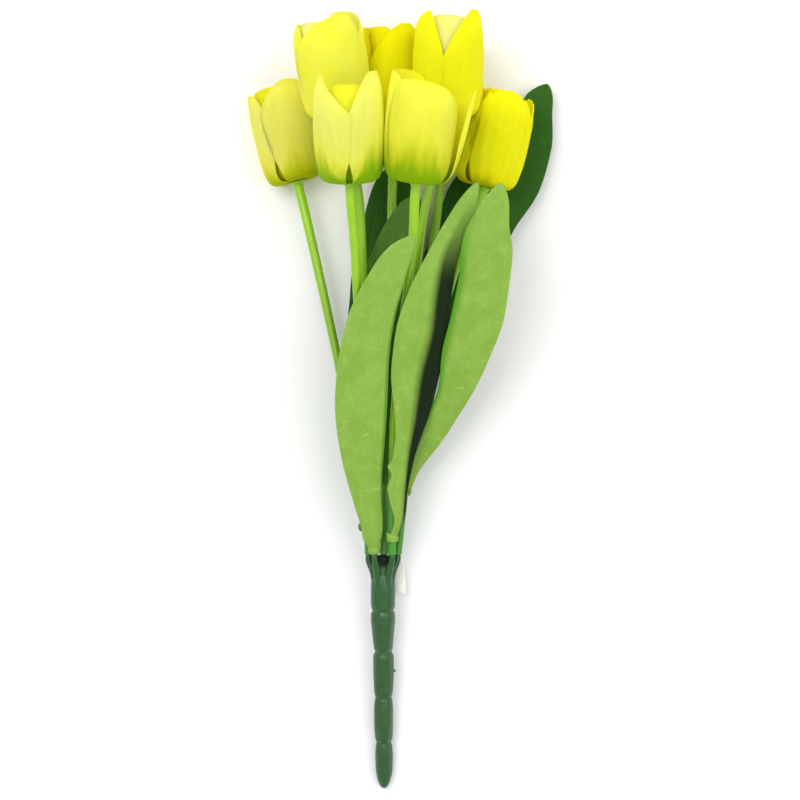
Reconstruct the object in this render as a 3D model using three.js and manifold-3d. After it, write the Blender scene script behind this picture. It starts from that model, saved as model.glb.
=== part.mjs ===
// A bunch of artificial tulips lying on a surface: fabric blooms on plastic stems, each stem
// pushed on to a stub of one moulded handle, with a slip-on leaf on every stem.
// Millimetres, +Z up. The bunch lies along Y, blooms toward +Y and the handle's tip toward -Y.
// It rests on the handle's tip and on the undersides of the left and the back bloom.

import * as THREE from 'three';
import { mergeVertices } from 'three/addons/utils/BufferGeometryUtils.js';
import Module from 'manifold-3d';

const wasm = await Module();
wasm.setup();

// Clearance between pieces that touch, and the shift that centres the bunch over the origin.
const GAP = 0.3;
const CENTRE_SHIFT = new THREE.Vector3(-1, 4.6, 0);

// Handle: five moulded segments in a row, listed from the tip as [distance along, radius].
const HANDLE_TIP = new THREE.Vector3(-9.3, -227.2, 2.9);
const CROWN_TOP = new THREE.Vector3(-9.9, -99, 18.6);
const HANDLE_PROFILE = [
  [0, 0], [1.2, 1.9], [4, 3.4], [9, 4.5], [20, 5], [25, 4.7], [28, 4.1],
  [31, 4.9], [36, 5.3], [48, 5.4], [52, 5.1], [55, 4.5],
  [57.5, 5.2], [63, 5.5], [75, 5.9], [79.5, 5.8], [82, 4.5],
  [84.5, 5.3], [92, 6.1], [101, 6.9], [104.5, 6.7], [106.5, 5.9],
  [109, 6.7], [121, 6.9], [126, 6.5], [128.5, 5], [128.5, 0],
];
const HANDLE_SIDES = 12;

// Stubs on the crown, each ending in a thinner spigot inside the stem's blind bore.
const STUB_RADIUS = 1.75;
const STUB_ROOT_RADIUS = 2.4;
const STUB_SIDES = 6;
const STUB_ROOT_DEPTH = 8;
const STUB_ROOT_SHARE = 0.48;
const STUB_RING_SHARE = 0.64;
const STUB_STRAIGHT = 3;
const SPIGOT_RADIUS = 1.1;
const SPIGOT_LENGTH = 10;
const BORE_DEPTH = 11;
const STUB_NUB_RADIUS = 1.1;
const STUBS_WITH_NUB = ['left', 'right'];
const NUB_SEGMENTS = [6, 4];

// Stems: tapered rods with a flange under the bloom and a pin through it.
const STEM_FOOT_RADIUS = 2.2;
const STEM_TOP_RADIUS = 2.7;
const STEM_SIDES = 8;
const STEM_RINGS = 8;
const STRAIGHT_FOOT = 14;
const STRAIGHT_TOP = 9;
const FLANGE_RADIUS = 5.5;
const FLANGE_HEIGHT = 3;
const FLANGE_LIP = 0.6;
const FLANGE_LIP_HEIGHT = 1.2;
const PIN_RADIUS = 1.5;
const PIN_LENGTH = 7.2;
const KNOB_RADIUS = 1.7;
const KNOB_AT = 17;
const STEM_WITH_KNOB = 'left';

// Bloom: two layers of three petals, each layer joined at a disc, and a cap that holds them.
const PETALS = 3;
const FABRIC = 0.7;
const DISC_THICKNESS = 1;
const DISC_RADIUS = 7;
const DISC_SIDES = 9;
const PINWHEEL = 0.6;
const WALL_SPAN = [0.15, 0.45];
const OUTER_CELLS = [4, 5];
const INNER_CELLS = [4, 4];
const INNER_HEIGHT_SHARE = 0.96;

// Petal profile as [radius, height] for a bloom of 20 mm radius and 58 mm height, and the
// petal's half width in degrees round the cup at the same places.
const MODEL_RADIUS = 20;
const MODEL_HEIGHT = 58;
const OUTER_PROFILE = [
  [5, 0.5], [9.5, 0.5], [14.6, 1.4], [17.9, 5.2], [19.5, 13], [20, 24], [19.8, 37], [18.6, 49], [16.4, 58],
];
const OUTER_HALF_ANGLES = [58, 56, 54, 54, 60, 65, 66, 62, 58];
const INNER_PROFILE = [
  [5, 1.8], [8, 1.8], [11.2, 3.2], [14.1, 7.3], [15.5, 14], [16.2, 24], [15.8, 36], [14.6, 47], [12.6, 56],
];
const INNER_HALF_ANGLES = [58, 56, 54, 56, 60, 64, 64, 60, 56];

// Cap on the pin, drawn up into a pistil: [height above the disc's underside, radius].
const CAP_FOOT = 2.6;
const CAP_BORE_DEPTH = 4.9;
const CAP_PROFILE = [[CAP_FOOT, 3.6], [5, 3.6], [9, 2.8], [17, 2.2], [20, 3.2], [22, 2.4], [22, 0]];
const CAP_SIDES = 8;

// Leaves: a thin blade that grows out of a collar round the stem.
const BLADE_THICKNESS = 0.8;
const LEAF_CELLS = [4, 10];
const TIP_LENGTH = 0.075;
const TIP_WIDTH_SHARE = 0.12;
const FOOT_HALF_WIDTH = 3.7;
const FOOT_BEND = 65;
const FOLD_BEGIN = 0.12;
const COLLAR_BELOW = 3;
const COLLAR_ABOVE = 2;
const COLLAR_WALL = 0.9;

// Tag: a blank strip wrapped round the foot of the right stem.
const TAG_WALL = 0.6;
const TAG_AT = 2.6;
const TAG_HALF_WRAP = 1.8;
const TAG_ROWS = [
  [-1.2, -87.6, 11.9, 1.7, 1.7, 0, 0, 0],
  [-0.3, -95, 10.4, 2.4, 2.4, 0, 0, 0],
  [0.4, -104, 8.8, 2.7, 2.7, 0, -6, -6],
  [0.3, -112.4, 7.8, 2.9, 2.9, 0, -12, -12],
];
const TAG_CELLS = [2, 4];

// Size of the block below the surface that the handle's tip is cut flat by.
const BLOCK_BELOW = [400, 600, 20];

// Step for slopes on a surface, the bend under which a blade counts as flat across, and the
// least distance between two rows.
const SLOPE_STEP = 1e-3;
const FLAT_BEND = 1e-4;
const LEAST_SPREAD = 1e-6;

// Each stem's route from its foot to just under its bloom, and the bloom on it: base and top
// of its axis, radius, and roll of the first outer petal about the axis. Each petal is a row:
// share of the height it reaches, place of its top across it (-1 left edge, 1 right edge),
// bluntness left and right of the top, share of the height that its edges drop, how far its tip
// leans out, and its width as a share of the usual one. Where lap is -1, the left side edges lie
// over the next petals, and else the right ones do.
const STEMS = {
  left: {
    route: [[-16.5, -89.7, 14.5], [-26.6, -28.9, 16], [-35.8, 21.9, 16.6], [-47.9, 77.9, 17.2]],
    bloom: { base: [-59.4, 126.2, 17.6], top: [-74.9, 184.5, 17.6], radius: 18.3, roll: 29,
      outer: [[0.95, 0, 1.8, 4, 0.18, 0, 1], [0.92, 0, 3, 3, 0.18, 0, 1], [0.905, 0.2, 4, 5, 0.14, -2, 1]],
      inner: [[0.95, 0, 4, 4, 0.2, 0, 1], [0.93, 0, 4, 4, 0.2, 0, 1], [0.98, 0, 5, 5, 0.16, 0, 1]] },
  },
  upper_left: {
    route: [[-18.1, -89.2, 20.8], [-20.5, 0, 33], [-20.9, 56.5, 41], [-24.1, 120.3, 50.5]],
    bloom: { base: [-33.8, 157.7, 55], top: [-41.8, 215.4, 63], radius: 19.6, roll: 3, lap: -1,
      outer: [[0.94, 0.4, 2.2, 6, 0.24, 0, 1.2], [0.99, 0.5, 2.5, 4, 0.2, 0, 1],
        [0.93, 0, 4, 4, 0.16, 1, 1]],
      inner: [[0.97, 0, 5, 5, 0.2, 0, 1], [0.97, 0, 5, 5, 0.14, 0, 1], [0.98, 0, 5, 5, 0.14, 0, 1]] },
  },
  upper_middle: {
    route: [[-9.2, -89.3, 19.6], [-7.5, 0, 20.5], [-5.2, 86, 24.5]],
    bloom: { base: [-4, 158.5, 31], top: [-5.1, 216, 38], radius: 17.4, roll: 10, lap: -1,
      outer: [[0.95, 0.25, 1.6, 6, 0.3, 0, 1], [0.93, 0, 5, 5, 0.14, 0, 1], [0.94, 0, 5, 5, 0.14, 0, 1]],
      inner: [[0.93, 0, 5, 5, 0.16, 0, 1], [0.93, 0, 5, 5, 0.16, 0, 1], [0.99, 0, 7, 7, 0.13, 0, 1]] },
  },
  upper_right: {
    route: [[-1.2, -89.2, 20.8], [2.6, -52.2, 25.2], [4.8, 0, 32], [9.3, 72.2, 42], [16.8, 122.1, 50]],
    bloom: { base: [25.6, 157.7, 55], top: [27.6, 215.9, 63.5], radius: 19.2, roll: 49,
      outer: [[1, 0, 1.5, 5, 0.36, 0, 1], [0.96, 0, 4, 4, 0.16, 0, 1], [0.98, 0.5, 1.7, 1.4, 0.33, 0, 1]],
      inner: [[0.96, 0, 5, 5, 0.16, 0, 1], [0.96, 0, 5, 5, 0.16, 0, 1], [1.01, 0, 6, 6, 0.14, 0, 1]] },
  },
  front_left: {
    route: [[-14.6, -88.7, 26.3], [-20.2, 0, 48], [-23.3, 52.6, 61.5], [-25.2, 87.8, 71]],
    bloom: { base: [-27.1, 118.6, 81], top: [-28.3, 175.2, 97], radius: 18.8, roll: 60,
      outer: [[1.02, -0.08, 2, 4, 0.34, 0, 1], [0.88, 0, 3, 3, 0.18, 0, 1], [1, 0.08, 3, 0.85, 0.24, 0, 1]],
      inner: [[0.92, 0, 4, 4, 0.2, 0, 1], [0.92, 0, 4, 4, 0.2, 0, 1], [0.99, 0, 5, 5, 0.14, 0, 1]] },
  },
  front_right: {
    route: [[-4.6, -88.7, 26.3], [-3.4, -11.3, 45], [0.6, 33.4, 55], [3.9, 60.8, 62], [7.4, 92.6, 72]],
    bloom: { base: [9, 118.6, 82], top: [15, 174.5, 97], radius: 18.8, roll: 7, lap: -1,
      outer: [[0.97, -0.3, 7, 2.5, 0.22, 2.5, 1.14], [0.92, -0.75, 3, 1.5, 0.3, 11, 1],
        [1, 0.1, 6, 8, 0.14, 4.4, 1.2]],
      inner: [[0.95, 0, 4, 4, 0.2, 0, 1], [0.92, 0, 4, 4, 0.2, 0, 1], [0.99, 0, 6, 6, 0.12, 0, 1]] },
  },
  right: {
    route: [[-2.9, -89.7, 14.5], [6.9, -23.1, 19], [22.9, 45.8, 26], [41.5, 103.2, 33.5]],
    bloom: { base: [47.7, 120.9, 36.6], top: [60.1, 177.8, 40.3], radius: 19.4, roll: 20,
      outer: [[0.94, -0.15, 4, 1.6, 0.18, -1, 1], [0.94, 0, 5, 5, 0.1, 0, 1],
        [0.97, 0.2, 4, 4, 0.17, -3.3, 1]],
      inner: [[0.94, 0, 5, 5, 0.13, 0, 1], [1.03, 0, 4, 4, 0.14, 0, 1], [1, 0, 5, 5, 0.13, 0, 1]] },
  },
  back: {
    route: [[-9.6, -90, 11.3], [0, -29, 12.5], [12.2, 46.3, 14], [20.2, 97.7, 15], [23.7, 128.2, 16]],
    bloom: { base: [28, 158, 16.7], top: [31.4, 216, 16.7], radius: 17.6, roll: 45,
      outer: [[0.96, 0, 2.8, 2.8, 0.22, 0, 1], [0.96, 0, 2.8, 2.8, 0.22, 0, 1],
        [0.96, 0, 2.8, 2.8, 0.22, 0, 1]],
      inner: [[0.96, 0, 4, 4, 0.18, 0, 1], [0.96, 0, 4, 4, 0.18, 0, 1], [0.96, 0, 4, 4, 0.18, 0, 1]] },
  },
};

// Each leaf: the stem that carries it, the collar's distance from the stem's foot, the side of
// the stem that it grows on (1 above, -1 below), the roll of its foot, the share of its half
// width that the bend takes up (all of it unless given), and the blade's rows as
// [x, y, z, left width, right width, roll, bend of the left half, bend of the right half].
const LEAVES = {
  front_left: { stem: 'front_left', at: 4.5, side: 1, footRoll: 0, rows: [
    [-15.6, -75.6, 33.9, 6.6, 6.4, 0, -50, -50],
    [-18.1, -56.6, 39.5, 8.4, 8.3, 0, -25, -25],
    [-21, -30.9, 47.5, 12.3, 12.3, 0, -8, -8],
    [-22, 0, 55, 14.2, 14.8, 0, 6, 6],
    [-17.7, 29.3, 62.2, 15, 12.4, 0, 6, 6],
    [-9.9, 54.5, 68.6, 13.7, 9, 0, 5, 5],
    [-2.7, 72.3, 73.2, 10.7, 7.1, 0, 0, 0],
    [7.1, 89.5, 77, 4.6, 3.7, 0, 0, 0],
  ] },
  front_middle: { stem: 'front_right', at: 11.5, side: 1, footRoll: -55, fold: 0.25, rows: [
    [0.9, -67.6, 35.2, 4.6, 4.8, -45, -40, -50],
    [2.3, -50.8, 41, 8.6, 3.8, -5, 0, -75],
    [4, -30.9, 46.8, 8.9, 5.4, 0, 0, -80],
    [7, -8.4, 52.6, 9.8, 12, 0, -5, -78],
    [10, 15, 59.3, 15.1, 14.8, 0, -8, -76],
    [15.8, 38.7, 65.3, 17.9, 14, 0, -5, -74],
    [18.5, 60.5, 69.5, 12.7, 13.5, 0, 0, -72],
    [22.5, 79, 70.6, 7, 12, 0, 0, -65],
    [31.5, 98, 71.4, 6, 8, 0, 0, -40],
    [42.8, 119.2, 71.5, 4, 3.6, 0, 0, 0],
  ] },
  front_right: { stem: 'upper_right', at: 38, side: 1, footRoll: -20, rows: [
    [7.4, -41.6, 31, 3.6, 3.8, -20, -45, -45],
    [14.2, -27.9, 34, 5.6, 5.4, -20, -20, -20],
    [22.6, -13, 38.3, 8.8, 8, -20, -5, -5],
    [30.4, 4.5, 46, 10.7, 9.4, -15, 5, 5],
    [37.9, 26.8, 54.8, 13.4, 12.8, -8, 8, 8],
    [42.7, 46.5, 61.4, 15.2, 14.6, 0, 8, 8],
    [46.8, 67.1, 68.1, 13.6, 14.2, 0, 5, 5],
    [47.6, 85.9, 73.9, 13.7, 13.6, 0, 3, 3],
    [50.7, 100.4, 77.1, 9.4, 9.5, 0, 0, 0],
    [54.4, 118.1, 80, 4.4, 5.2, 0, 0, 0],
  ] },
  middle: { stem: 'upper_middle', at: 44.5, side: 1, footRoll: 0, rows: [
    [-8.7, -34.4, 26, 5, 5, 0, -40, -40],
    [-10.8, -14.3, 27, 8.8, 8.8, 0, -10, -20],
    [-12.6, 8.6, 27, 12.2, 12.2, 0, 0, 0],
    [-11.4, 37.2, 27.5, 14.3, 14.3, 0, 8, 8],
    [-8, 65.6, 31, 14, 14, 0, 8, 8],
    [-2.8, 86.3, 35, 11.8, 11.8, 0, 5, 5],
    [3.4, 101.8, 39.5, 8.5, 8.5, 0, 0, 0],
    [10.7, 113.9, 43, 6, 6, 0, 0, 0],
  ] },
  back_left: { stem: 'left', at: 40.5, side: -1, footRoll: 0, rows: [
    [-22.7, -40.7, 10, 5, 5, 0, 45, 45],
    [-21, -20.4, 8.5, 8.8, 8.8, 0, 20, 20],
    [-19.2, 2.9, 8, 12.2, 12.2, 0, 8, 8],
    [-17.5, 29.1, 8, 14.5, 14.5, 0, 6, 6],
    [-15.1, 58.2, 8, 14.6, 14.6, 0, 6, 6],
    [-12.2, 87.3, 8, 12.8, 12.8, 0, 5, 5],
    [-9.3, 112.3, 8.3, 9.8, 9.8, 0, 5, 5],
    [-6.4, 135, 9, 6.3, 6.3, 0, 0, 0],
  ] },
  back_middle: { stem: 'upper_left', at: 58, side: -1, footRoll: 0, rows: [
    [-17.8, -23, 19.5, 5, 5, -10, 40, 35],
    [-15, -2.9, 14.8, 8.8, 8.8, -8, 15, 5],
    [-11.6, 22, 14.2, 12.2, 12.2, 0, 8, 8],
    [-8.7, 47.5, 14, 14.3, 14.3, 0, 6, 6],
    [-5.8, 75.3, 14.3, 14.2, 14.2, 0, 6, 6],
    [-2.9, 101.3, 14.8, 12.5, 12.5, 0, 5, 5],
    [-1.2, 124.3, 15.5, 9.5, 9.5, 0, 5, 5],
    [0.6, 147.4, 16, 6.3, 6.3, 0, 0, 0],
  ] },
  back_right: { stem: 'right', at: 107, side: -1, footRoll: 0, rows: [
    [19.1, 24.8, 16.5, 5.2, 5.2, 0, 45, 45],
    [26.1, 43.4, 13.5, 9, 9, 0, 20, 20],
    [34.8, 63.8, 12.3, 12.3, 12.3, 0, 8, 8],
    [44.7, 85.9, 11.5, 14.5, 14.5, 0, 6, 6],
    [54.6, 107.4, 11, 15, 13.8, 0, 6, 6],
    [66.2, 129, 10.5, 14.8, 17.4, 0, 6, 6],
    [73.8, 149.9, 10, 13.5, 13.4, 0, 6, 6],
    [80.2, 168.5, 10, 10, 8.8, 0, 5, 5],
    [85.4, 183.6, 10.5, 6, 6, 0, 0, 0],
  ] },
  under: { stem: 'back', at: 46.5, side: -1, footRoll: 0, rows: [
    [-0.6, -35, 7, 5, 5, 0, 45, 45],
    [3.5, -14.6, 5.2, 8.8, 8.8, 0, 20, 20],
    [8.8, 8.8, 4.5, 12.2, 12.2, 0, 8, 8],
    [15.2, 35.1, 4.2, 14.4, 14.4, 0, 6, 6],
    [21.6, 60.2, 4.2, 14.6, 14.6, 0, 6, 6],
    [28, 84.7, 4.2, 13, 13, 0, 5, 5],
    [33.9, 109.2, 4.5, 10.3, 10.3, 0, 5, 5],
    [39.1, 134.3, 5, 6.3, 6.3, 0, 0, 0],
  ] },
};

// Finishes: [colour, roughness].
const FINISHES = {
  handle: [0x3e6c42, 0.42],
  stem: [0x8ccd00, 0.4],
  petalOuter: [0xf5f52a, 0.85],
  petalInner: [0xeeee60, 0.85],
  cap: [0xb8c83c, 0.6],
  leafFront: [0x96be50, 0.55],
  leafBack: [0x2d5f14, 0.55],
  tag: [0xd8d4c4, 0.7],
};
const FRONT_LEAVES = ['front_left', 'front_middle', 'front_right'];

const UP = new THREE.Vector3(0, 0, 1);
const vector = (xyz) => new THREE.Vector3(...xyz);
const radians = THREE.MathUtils.degToRad;
const { lerp, clamp, smoothstep } = THREE.MathUtils;

// Closed geometry from a list of points and a list of triangles.
function closedGeometry(points, triangles) {
  const geometry = new THREE.BufferGeometry();
  geometry.setAttribute('position', new THREE.Float32BufferAttribute(points.flatMap((p) => p.toArray()), 3));
  geometry.setIndex(triangles.flat());
  return geometry;
}

function toManifold(geometry) {
  const bare = geometry.clone();
  bare.deleteAttribute('normal');
  bare.deleteAttribute('uv');
  const merged = mergeVertices(bare);
  return new wasm.Manifold(new wasm.Mesh({
    numProp: 3,
    vertProperties: new Float32Array(merged.attributes.position.array),
    triVerts: new Uint32Array(merged.index.array),
  }));
}

function toGeometry(solid) {
  const mesh = solid.getMesh();
  const geometry = new THREE.BufferGeometry();
  geometry.setAttribute('position', new THREE.BufferAttribute(mesh.vertProperties, 3));
  geometry.setIndex(new THREE.BufferAttribute(mesh.triVerts, 1));
  return geometry.toNonIndexed();
}

function fuse(geometries) {
  return geometries.map(toManifold).reduce((whole, piece) => whole.add(piece));
}

// Radius of a hole with flat sides that clears a rod of the given radius by the gap.
function clearOf(radius, sides) {
  return (radius + GAP) / Math.cos(Math.PI / sides);
}

// Directions across a run with the given tangent: to its right and up from it.
function crossFrame(tangent) {
  const right = new THREE.Vector3().crossVectors(tangent, UP).normalize();
  const above = new THREE.Vector3().crossVectors(right, tangent).normalize();
  return { right, above };
}

// Point and tangent at a distance along a curve, carried on straight past both ends.
function along(curve, distance) {
  const length = curve.getLength();
  const inside = clamp(distance / length, 0, 1);
  const tangent = curve.getTangentAt(inside);
  const point = curve.getPointAt(inside).addScaledVector(tangent, distance - inside * length);
  return { point, tangent };
}

// Solid turned round a curve: the profile's points are [distance along, radius], and it starts
// and ends on the curve, or closes on itself as a ring.
function turnedAlong(curve, profile, sides, isRing = false) {
  const points = [];
  const rings = profile.map(([distance, radius]) => {
    const { point, tangent } = along(curve, distance);
    if (radius === 0) {
      points.push(point);
      return [points.length - 1];
    }
    const { right, above } = crossFrame(tangent);
    return Array.from({ length: sides }, (_, side) => {
      const angle = (side / sides) * 2 * Math.PI;
      points.push(point.clone()
        .addScaledVector(right, radius * Math.cos(angle))
        .addScaledVector(above, radius * Math.sin(angle)));
      return points.length - 1;
    });
  });
  if (isRing) {
    rings.push(rings[0]);
  }
  const triangles = [];
  for (let ring = 0; ring + 1 < rings.length; ring += 1) {
    const near = rings[ring];
    const far = rings[ring + 1];
    for (let side = 0; side < sides; side += 1) {
      const next = (side + 1) % sides;
      if (far.length > 1) {
        triangles.push([near[side % near.length], far[side], far[next]]);
      }
      if (near.length > 1) {
        triangles.push([near[side], far[next % far.length], near[next]]);
      }
    }
  }
  return closedGeometry(points, triangles);
}

// Thin blade on a middle surface at(u, v), with u from -1 to 1 across and v from 0 to 1 along.
// Both faces are split alike. A blade that rests on the surface is pressed flat where it meets it.
function blade(at, [across, lengthwise], thickness) {
  const points = [];
  const grids = [1, -1].map((face) => {
    const grid = [];
    for (let row = 0; row <= lengthwise; row += 1) {
      for (let column = 0; column <= across; column += 1) {
        const u = (2 * column) / across - 1;
        const v = row / lengthwise;
        const alongU = at(u + SLOPE_STEP, v).sub(at(u - SLOPE_STEP, v));
        const alongV = at(u, v + SLOPE_STEP).sub(at(u, v - SLOPE_STEP));
        const normal = alongU.cross(alongV).normalize();
        const point = at(u, v).addScaledVector(normal, (face * thickness) / 2);
        const isUnderside = face * normal.z < 0;
        point.z = Math.max(point.z, isUnderside ? 0 : thickness);
        points.push(point);
        grid.push(points.length - 1);
      }
    }
    return (column, row) => grid[row * (across + 1) + column];
  });
  const [front, rear] = grids;
  const triangles = [];
  for (let row = 0; row < lengthwise; row += 1) {
    for (let column = 0; column < across; column += 1) {
      const corners = [[column, row], [column + 1, row], [column + 1, row + 1], [column, row + 1]];
      const [a, b, c, d] = corners.map((corner) => front(...corner));
      const [e, f, g, h] = corners.map((corner) => rear(...corner));
      triangles.push([a, b, c], [a, c, d], [e, g, f], [e, h, g]);
    }
  }
  const wall = (near, far) => {
    triangles.push([front(...near), rear(...near), rear(...far)]);
    triangles.push([front(...near), rear(...far), front(...far)]);
  };
  for (let column = 0; column < across; column += 1) {
    wall([column, 0], [column + 1, 0]);
    wall([column + 1, lengthwise], [column, lengthwise]);
  }
  for (let row = 0; row < lengthwise; row += 1) {
    wall([0, row + 1], [0, row]);
    wall([across, row], [across, row + 1]);
  }
  return closedGeometry(points, triangles);
}

// Smooth values between rows of numbers, at t from 0 to 1 over the whole list. The first three
// numbers of a row set the spacing, as in a centripetal Catmull-Rom curve.
function between(rows, t) {
  const last = rows.length - 1;
  const index = clamp(Math.floor(t * last), 0, last - 1);
  const share = t * last - index;
  const mirrored = (end, inner) => end.map((value, column) => 2 * value - inner[column]);
  const before = index > 0 ? rows[index - 1] : mirrored(rows[0], rows[1]);
  const after = index + 2 <= last ? rows[index + 2] : mirrored(rows[last], rows[last - 1]);
  const four = [before, rows[index], rows[index + 1], after];
  const knots = [0, 1, 2].map((k) => {
    const spread = Math.hypot(...[0, 1, 2].map((axis) => four[k + 1][axis] - four[k][axis]));
    return Math.sqrt(Math.max(spread, LEAST_SPREAD));
  });
  return four[1].map((_, column) => {
    const [p0, p1, p2, p3] = four.map((row) => row[column]);
    const [k0, k1, k2] = knots;
    const start = ((p1 - p0) / k0 - (p2 - p0) / (k0 + k1) + (p2 - p1) / k1) * k1;
    const end = ((p2 - p1) / k1 - (p3 - p1) / (k1 + k2) + (p3 - p2) / k2) * k1;
    const square = share * share;
    const cube = square * share;
    return p1 + start * share + (3 * (p2 - p1) - 2 * start - end) * square
      + (2 * (p1 - p2) + start + end) * cube;
  });
}

// Axis of a bloom, with the directions toward its front and its right.
function bloomFrame({ base, top }) {
  const origin = vector(base);
  const axis = vector(top).sub(origin);
  const height = axis.length();
  axis.normalize();
  const front = UP.clone().addScaledVector(axis, -UP.dot(axis)).normalize();
  const right = new THREE.Vector3().crossVectors(axis, front);
  return { origin, axis, height, front, right };
}

// The stem's middle line: straight at its foot, over the stub's spigot, and at its top.
function stemCurve({ route, bloom }) {
  const [foot, next, ...rest] = route.map(vector);
  const direction = next.clone().sub(foot).normalize();
  const { origin, axis } = bloomFrame(bloom);
  return new THREE.CatmullRomCurve3([
    foot,
    foot.clone().addScaledVector(direction, STRAIGHT_FOOT),
    next,
    ...rest,
    origin.clone().addScaledVector(axis, -STRAIGHT_TOP),
    origin,
  ]);
}

function stemRadius(distance, length) {
  return lerp(STEM_FOOT_RADIUS, STEM_TOP_RADIUS, clamp(distance / length, 0, 1));
}

// Stem with its blind bore, tapered rod, flange and pin, as one turned solid.
function stemSolid(name) {
  const curve = stemCurve(STEMS[name]);
  const length = curve.getLength();
  const boreRadius = clearOf(SPIGOT_RADIUS, STEM_SIDES);
  const flangeTop = length - GAP;
  const shaftEnd = flangeTop - FLANGE_HEIGHT;
  const profile = [[BORE_DEPTH, 0], [BORE_DEPTH, boreRadius], [GAP, boreRadius], [GAP, STEM_FOOT_RADIUS]];
  for (let ring = 1; ring <= STEM_RINGS; ring += 1) {
    const distance = lerp(GAP, shaftEnd, ring / STEM_RINGS);
    profile.push([distance, stemRadius(distance, length)]);
  }
  profile.push(
    [flangeTop - FLANGE_LIP_HEIGHT, FLANGE_RADIUS - FLANGE_LIP],
    [flangeTop, FLANGE_RADIUS],
    [flangeTop, PIN_RADIUS],
    [length + PIN_LENGTH, PIN_RADIUS],
    [length + PIN_LENGTH, 0],
  );
  const rod = turnedAlong(curve, profile, STEM_SIDES);
  if (name !== STEM_WITH_KNOB) {
    return toManifold(rod);
  }
  const { point, tangent } = along(curve, KNOB_AT);
  const { right } = crossFrame(tangent);
  const centre = point.addScaledVector(right, -stemRadius(KNOB_AT, length));
  const knob = new THREE.SphereGeometry(KNOB_RADIUS, ...NUB_SEGMENTS).translate(...centre.toArray());
  return fuse([rod, knob]);
}

// Handle with one stub for each stem, flattened where its tip lies on the surface.
function handleSolid() {
  const axis = new THREE.LineCurve3(HANDLE_TIP, CROWN_TOP);
  const length = axis.getLength();
  const pieces = [turnedAlong(axis, HANDLE_PROFILE, HANDLE_SIDES)];
  for (const [name, stem] of Object.entries(STEMS)) {
    const curve = stemCurve(stem);
    const { point: foot, tangent } = along(curve, 0);
    const root = along(axis, length - STUB_ROOT_DEPTH).point;
    const out = foot.clone().sub(CROWN_TOP).setY(0);
    const ringPoint = CROWN_TOP.clone().addScaledVector(out, STUB_RING_SHARE);
    const stub = new THREE.CatmullRomCurve3([
      root.addScaledVector(out, STUB_ROOT_SHARE),
      ringPoint,
      foot.clone().addScaledVector(tangent, -STUB_STRAIGHT),
      foot,
    ]);
    const reach = stub.getLength();
    pieces.push(turnedAlong(stub, [
      [0, 0], [0, STUB_ROOT_RADIUS], [STUB_ROOT_DEPTH, STUB_ROOT_RADIUS], [reach, STUB_RADIUS],
      [reach, SPIGOT_RADIUS], [reach + SPIGOT_LENGTH, SPIGOT_RADIUS], [reach + SPIGOT_LENGTH, 0],
    ], STUB_SIDES));
    if (STUBS_WITH_NUB.includes(name)) {
      const centre = ringPoint.clone().addScaledVector(out.clone().normalize(), STUB_RADIUS);
      pieces.push(new THREE.SphereGeometry(STUB_NUB_RADIUS, ...NUB_SEGMENTS).translate(...centre.toArray()));
    }
  }
  const below = new THREE.BoxGeometry(...BLOCK_BELOW).translate(0, 0, -BLOCK_BELOW[2] / 2);
  return fuse(pieces).subtract(toManifold(below));
}

// One layer of a bloom: three petals rolled evenly round the axis and joined at a disc.
function petalLayer(bloom, layer) {
  const { origin, axis, height, front, right } = bloomFrame(bloom);
  const isOuter = layer === 'outer';
  const profile = isOuter ? OUTER_PROFILE : INNER_PROFILE;
  const halfAngles = isOuter ? OUTER_HALF_ANGLES : INNER_HALF_ANGLES;
  const cells = isOuter ? OUTER_CELLS : INNER_CELLS;
  const reach = isOuter ? height : height * INNER_HEIGHT_SHARE;
  const rows = profile.map(([radius, rise], index) => [radius, rise, 0, halfAngles[index]]);
  const widen = bloom.radius / MODEL_RADIUS;
  const stretch = reach / MODEL_HEIGHT;
  const discHeight = profile[0][1];
  const lap = bloom.lap ?? 1;

  const petal = (turn, [tall, apex, leftBluntness, rightBluntness, drop, lean, width]) => (u, v) => {
    const leftFall = Math.max((apex - u) / (1 + apex), 0) ** leftBluntness;
    const rightFall = Math.max((u - apex) / (1 - apex), 0) ** rightBluntness;
    const t = v * (tall - drop * (leftFall + rightFall));
    const [radius, rise, , halfAngle] = between(rows, t);
    const wall = smoothstep(t, ...WALL_SPAN);
    const angle = radians(turn + u * halfAngle * lerp(1, width, wall));
    const leanShare = 1 - ((u - apex) / (1 + Math.abs(apex))) ** 2;
    const outward = radius * lerp(1, widen, wall) + u * lap * PINWHEEL * wall + lean * leanShare * t * t;
    const upward = discHeight + (rise - discHeight) * stretch;
    return origin.clone()
      .addScaledVector(axis, upward)
      .addScaledVector(front, outward * Math.cos(angle))
      .addScaledVector(right, outward * Math.sin(angle));
  };

  const low = discHeight - DISC_THICKNESS / 2;
  const high = discHeight + DISC_THICKNESS / 2;
  const line = new THREE.LineCurve3(origin, origin.clone().add(axis));
  const hole = clearOf(PIN_RADIUS, DISC_SIDES);
  const disc = turnedAlong(line, [[low, hole], [low, DISC_RADIUS], [high, DISC_RADIUS], [high, hole]],
    DISC_SIDES, true);
  const spacing = 360 / PETALS;
  const petals = Array.from({ length: PETALS }, (_, index) => {
    const turn = bloom.roll + spacing * (isOuter ? index : index + 0.5);
    return blade(petal(turn, bloom[layer][index]), cells, FABRIC);
  });
  return fuse([disc, ...petals]);
}

function capSolid(bloom) {
  const { origin, axis } = bloomFrame(bloom);
  const line = new THREE.LineCurve3(origin, origin.clone().add(axis));
  const bore = clearOf(PIN_RADIUS, CAP_SIDES);
  const roof = CAP_FOOT + CAP_BORE_DEPTH;
  const profile = [[roof, 0], [roof, bore], [CAP_FOOT, bore], ...CAP_PROFILE];
  return toManifold(turnedAlong(line, profile, CAP_SIDES));
}

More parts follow.
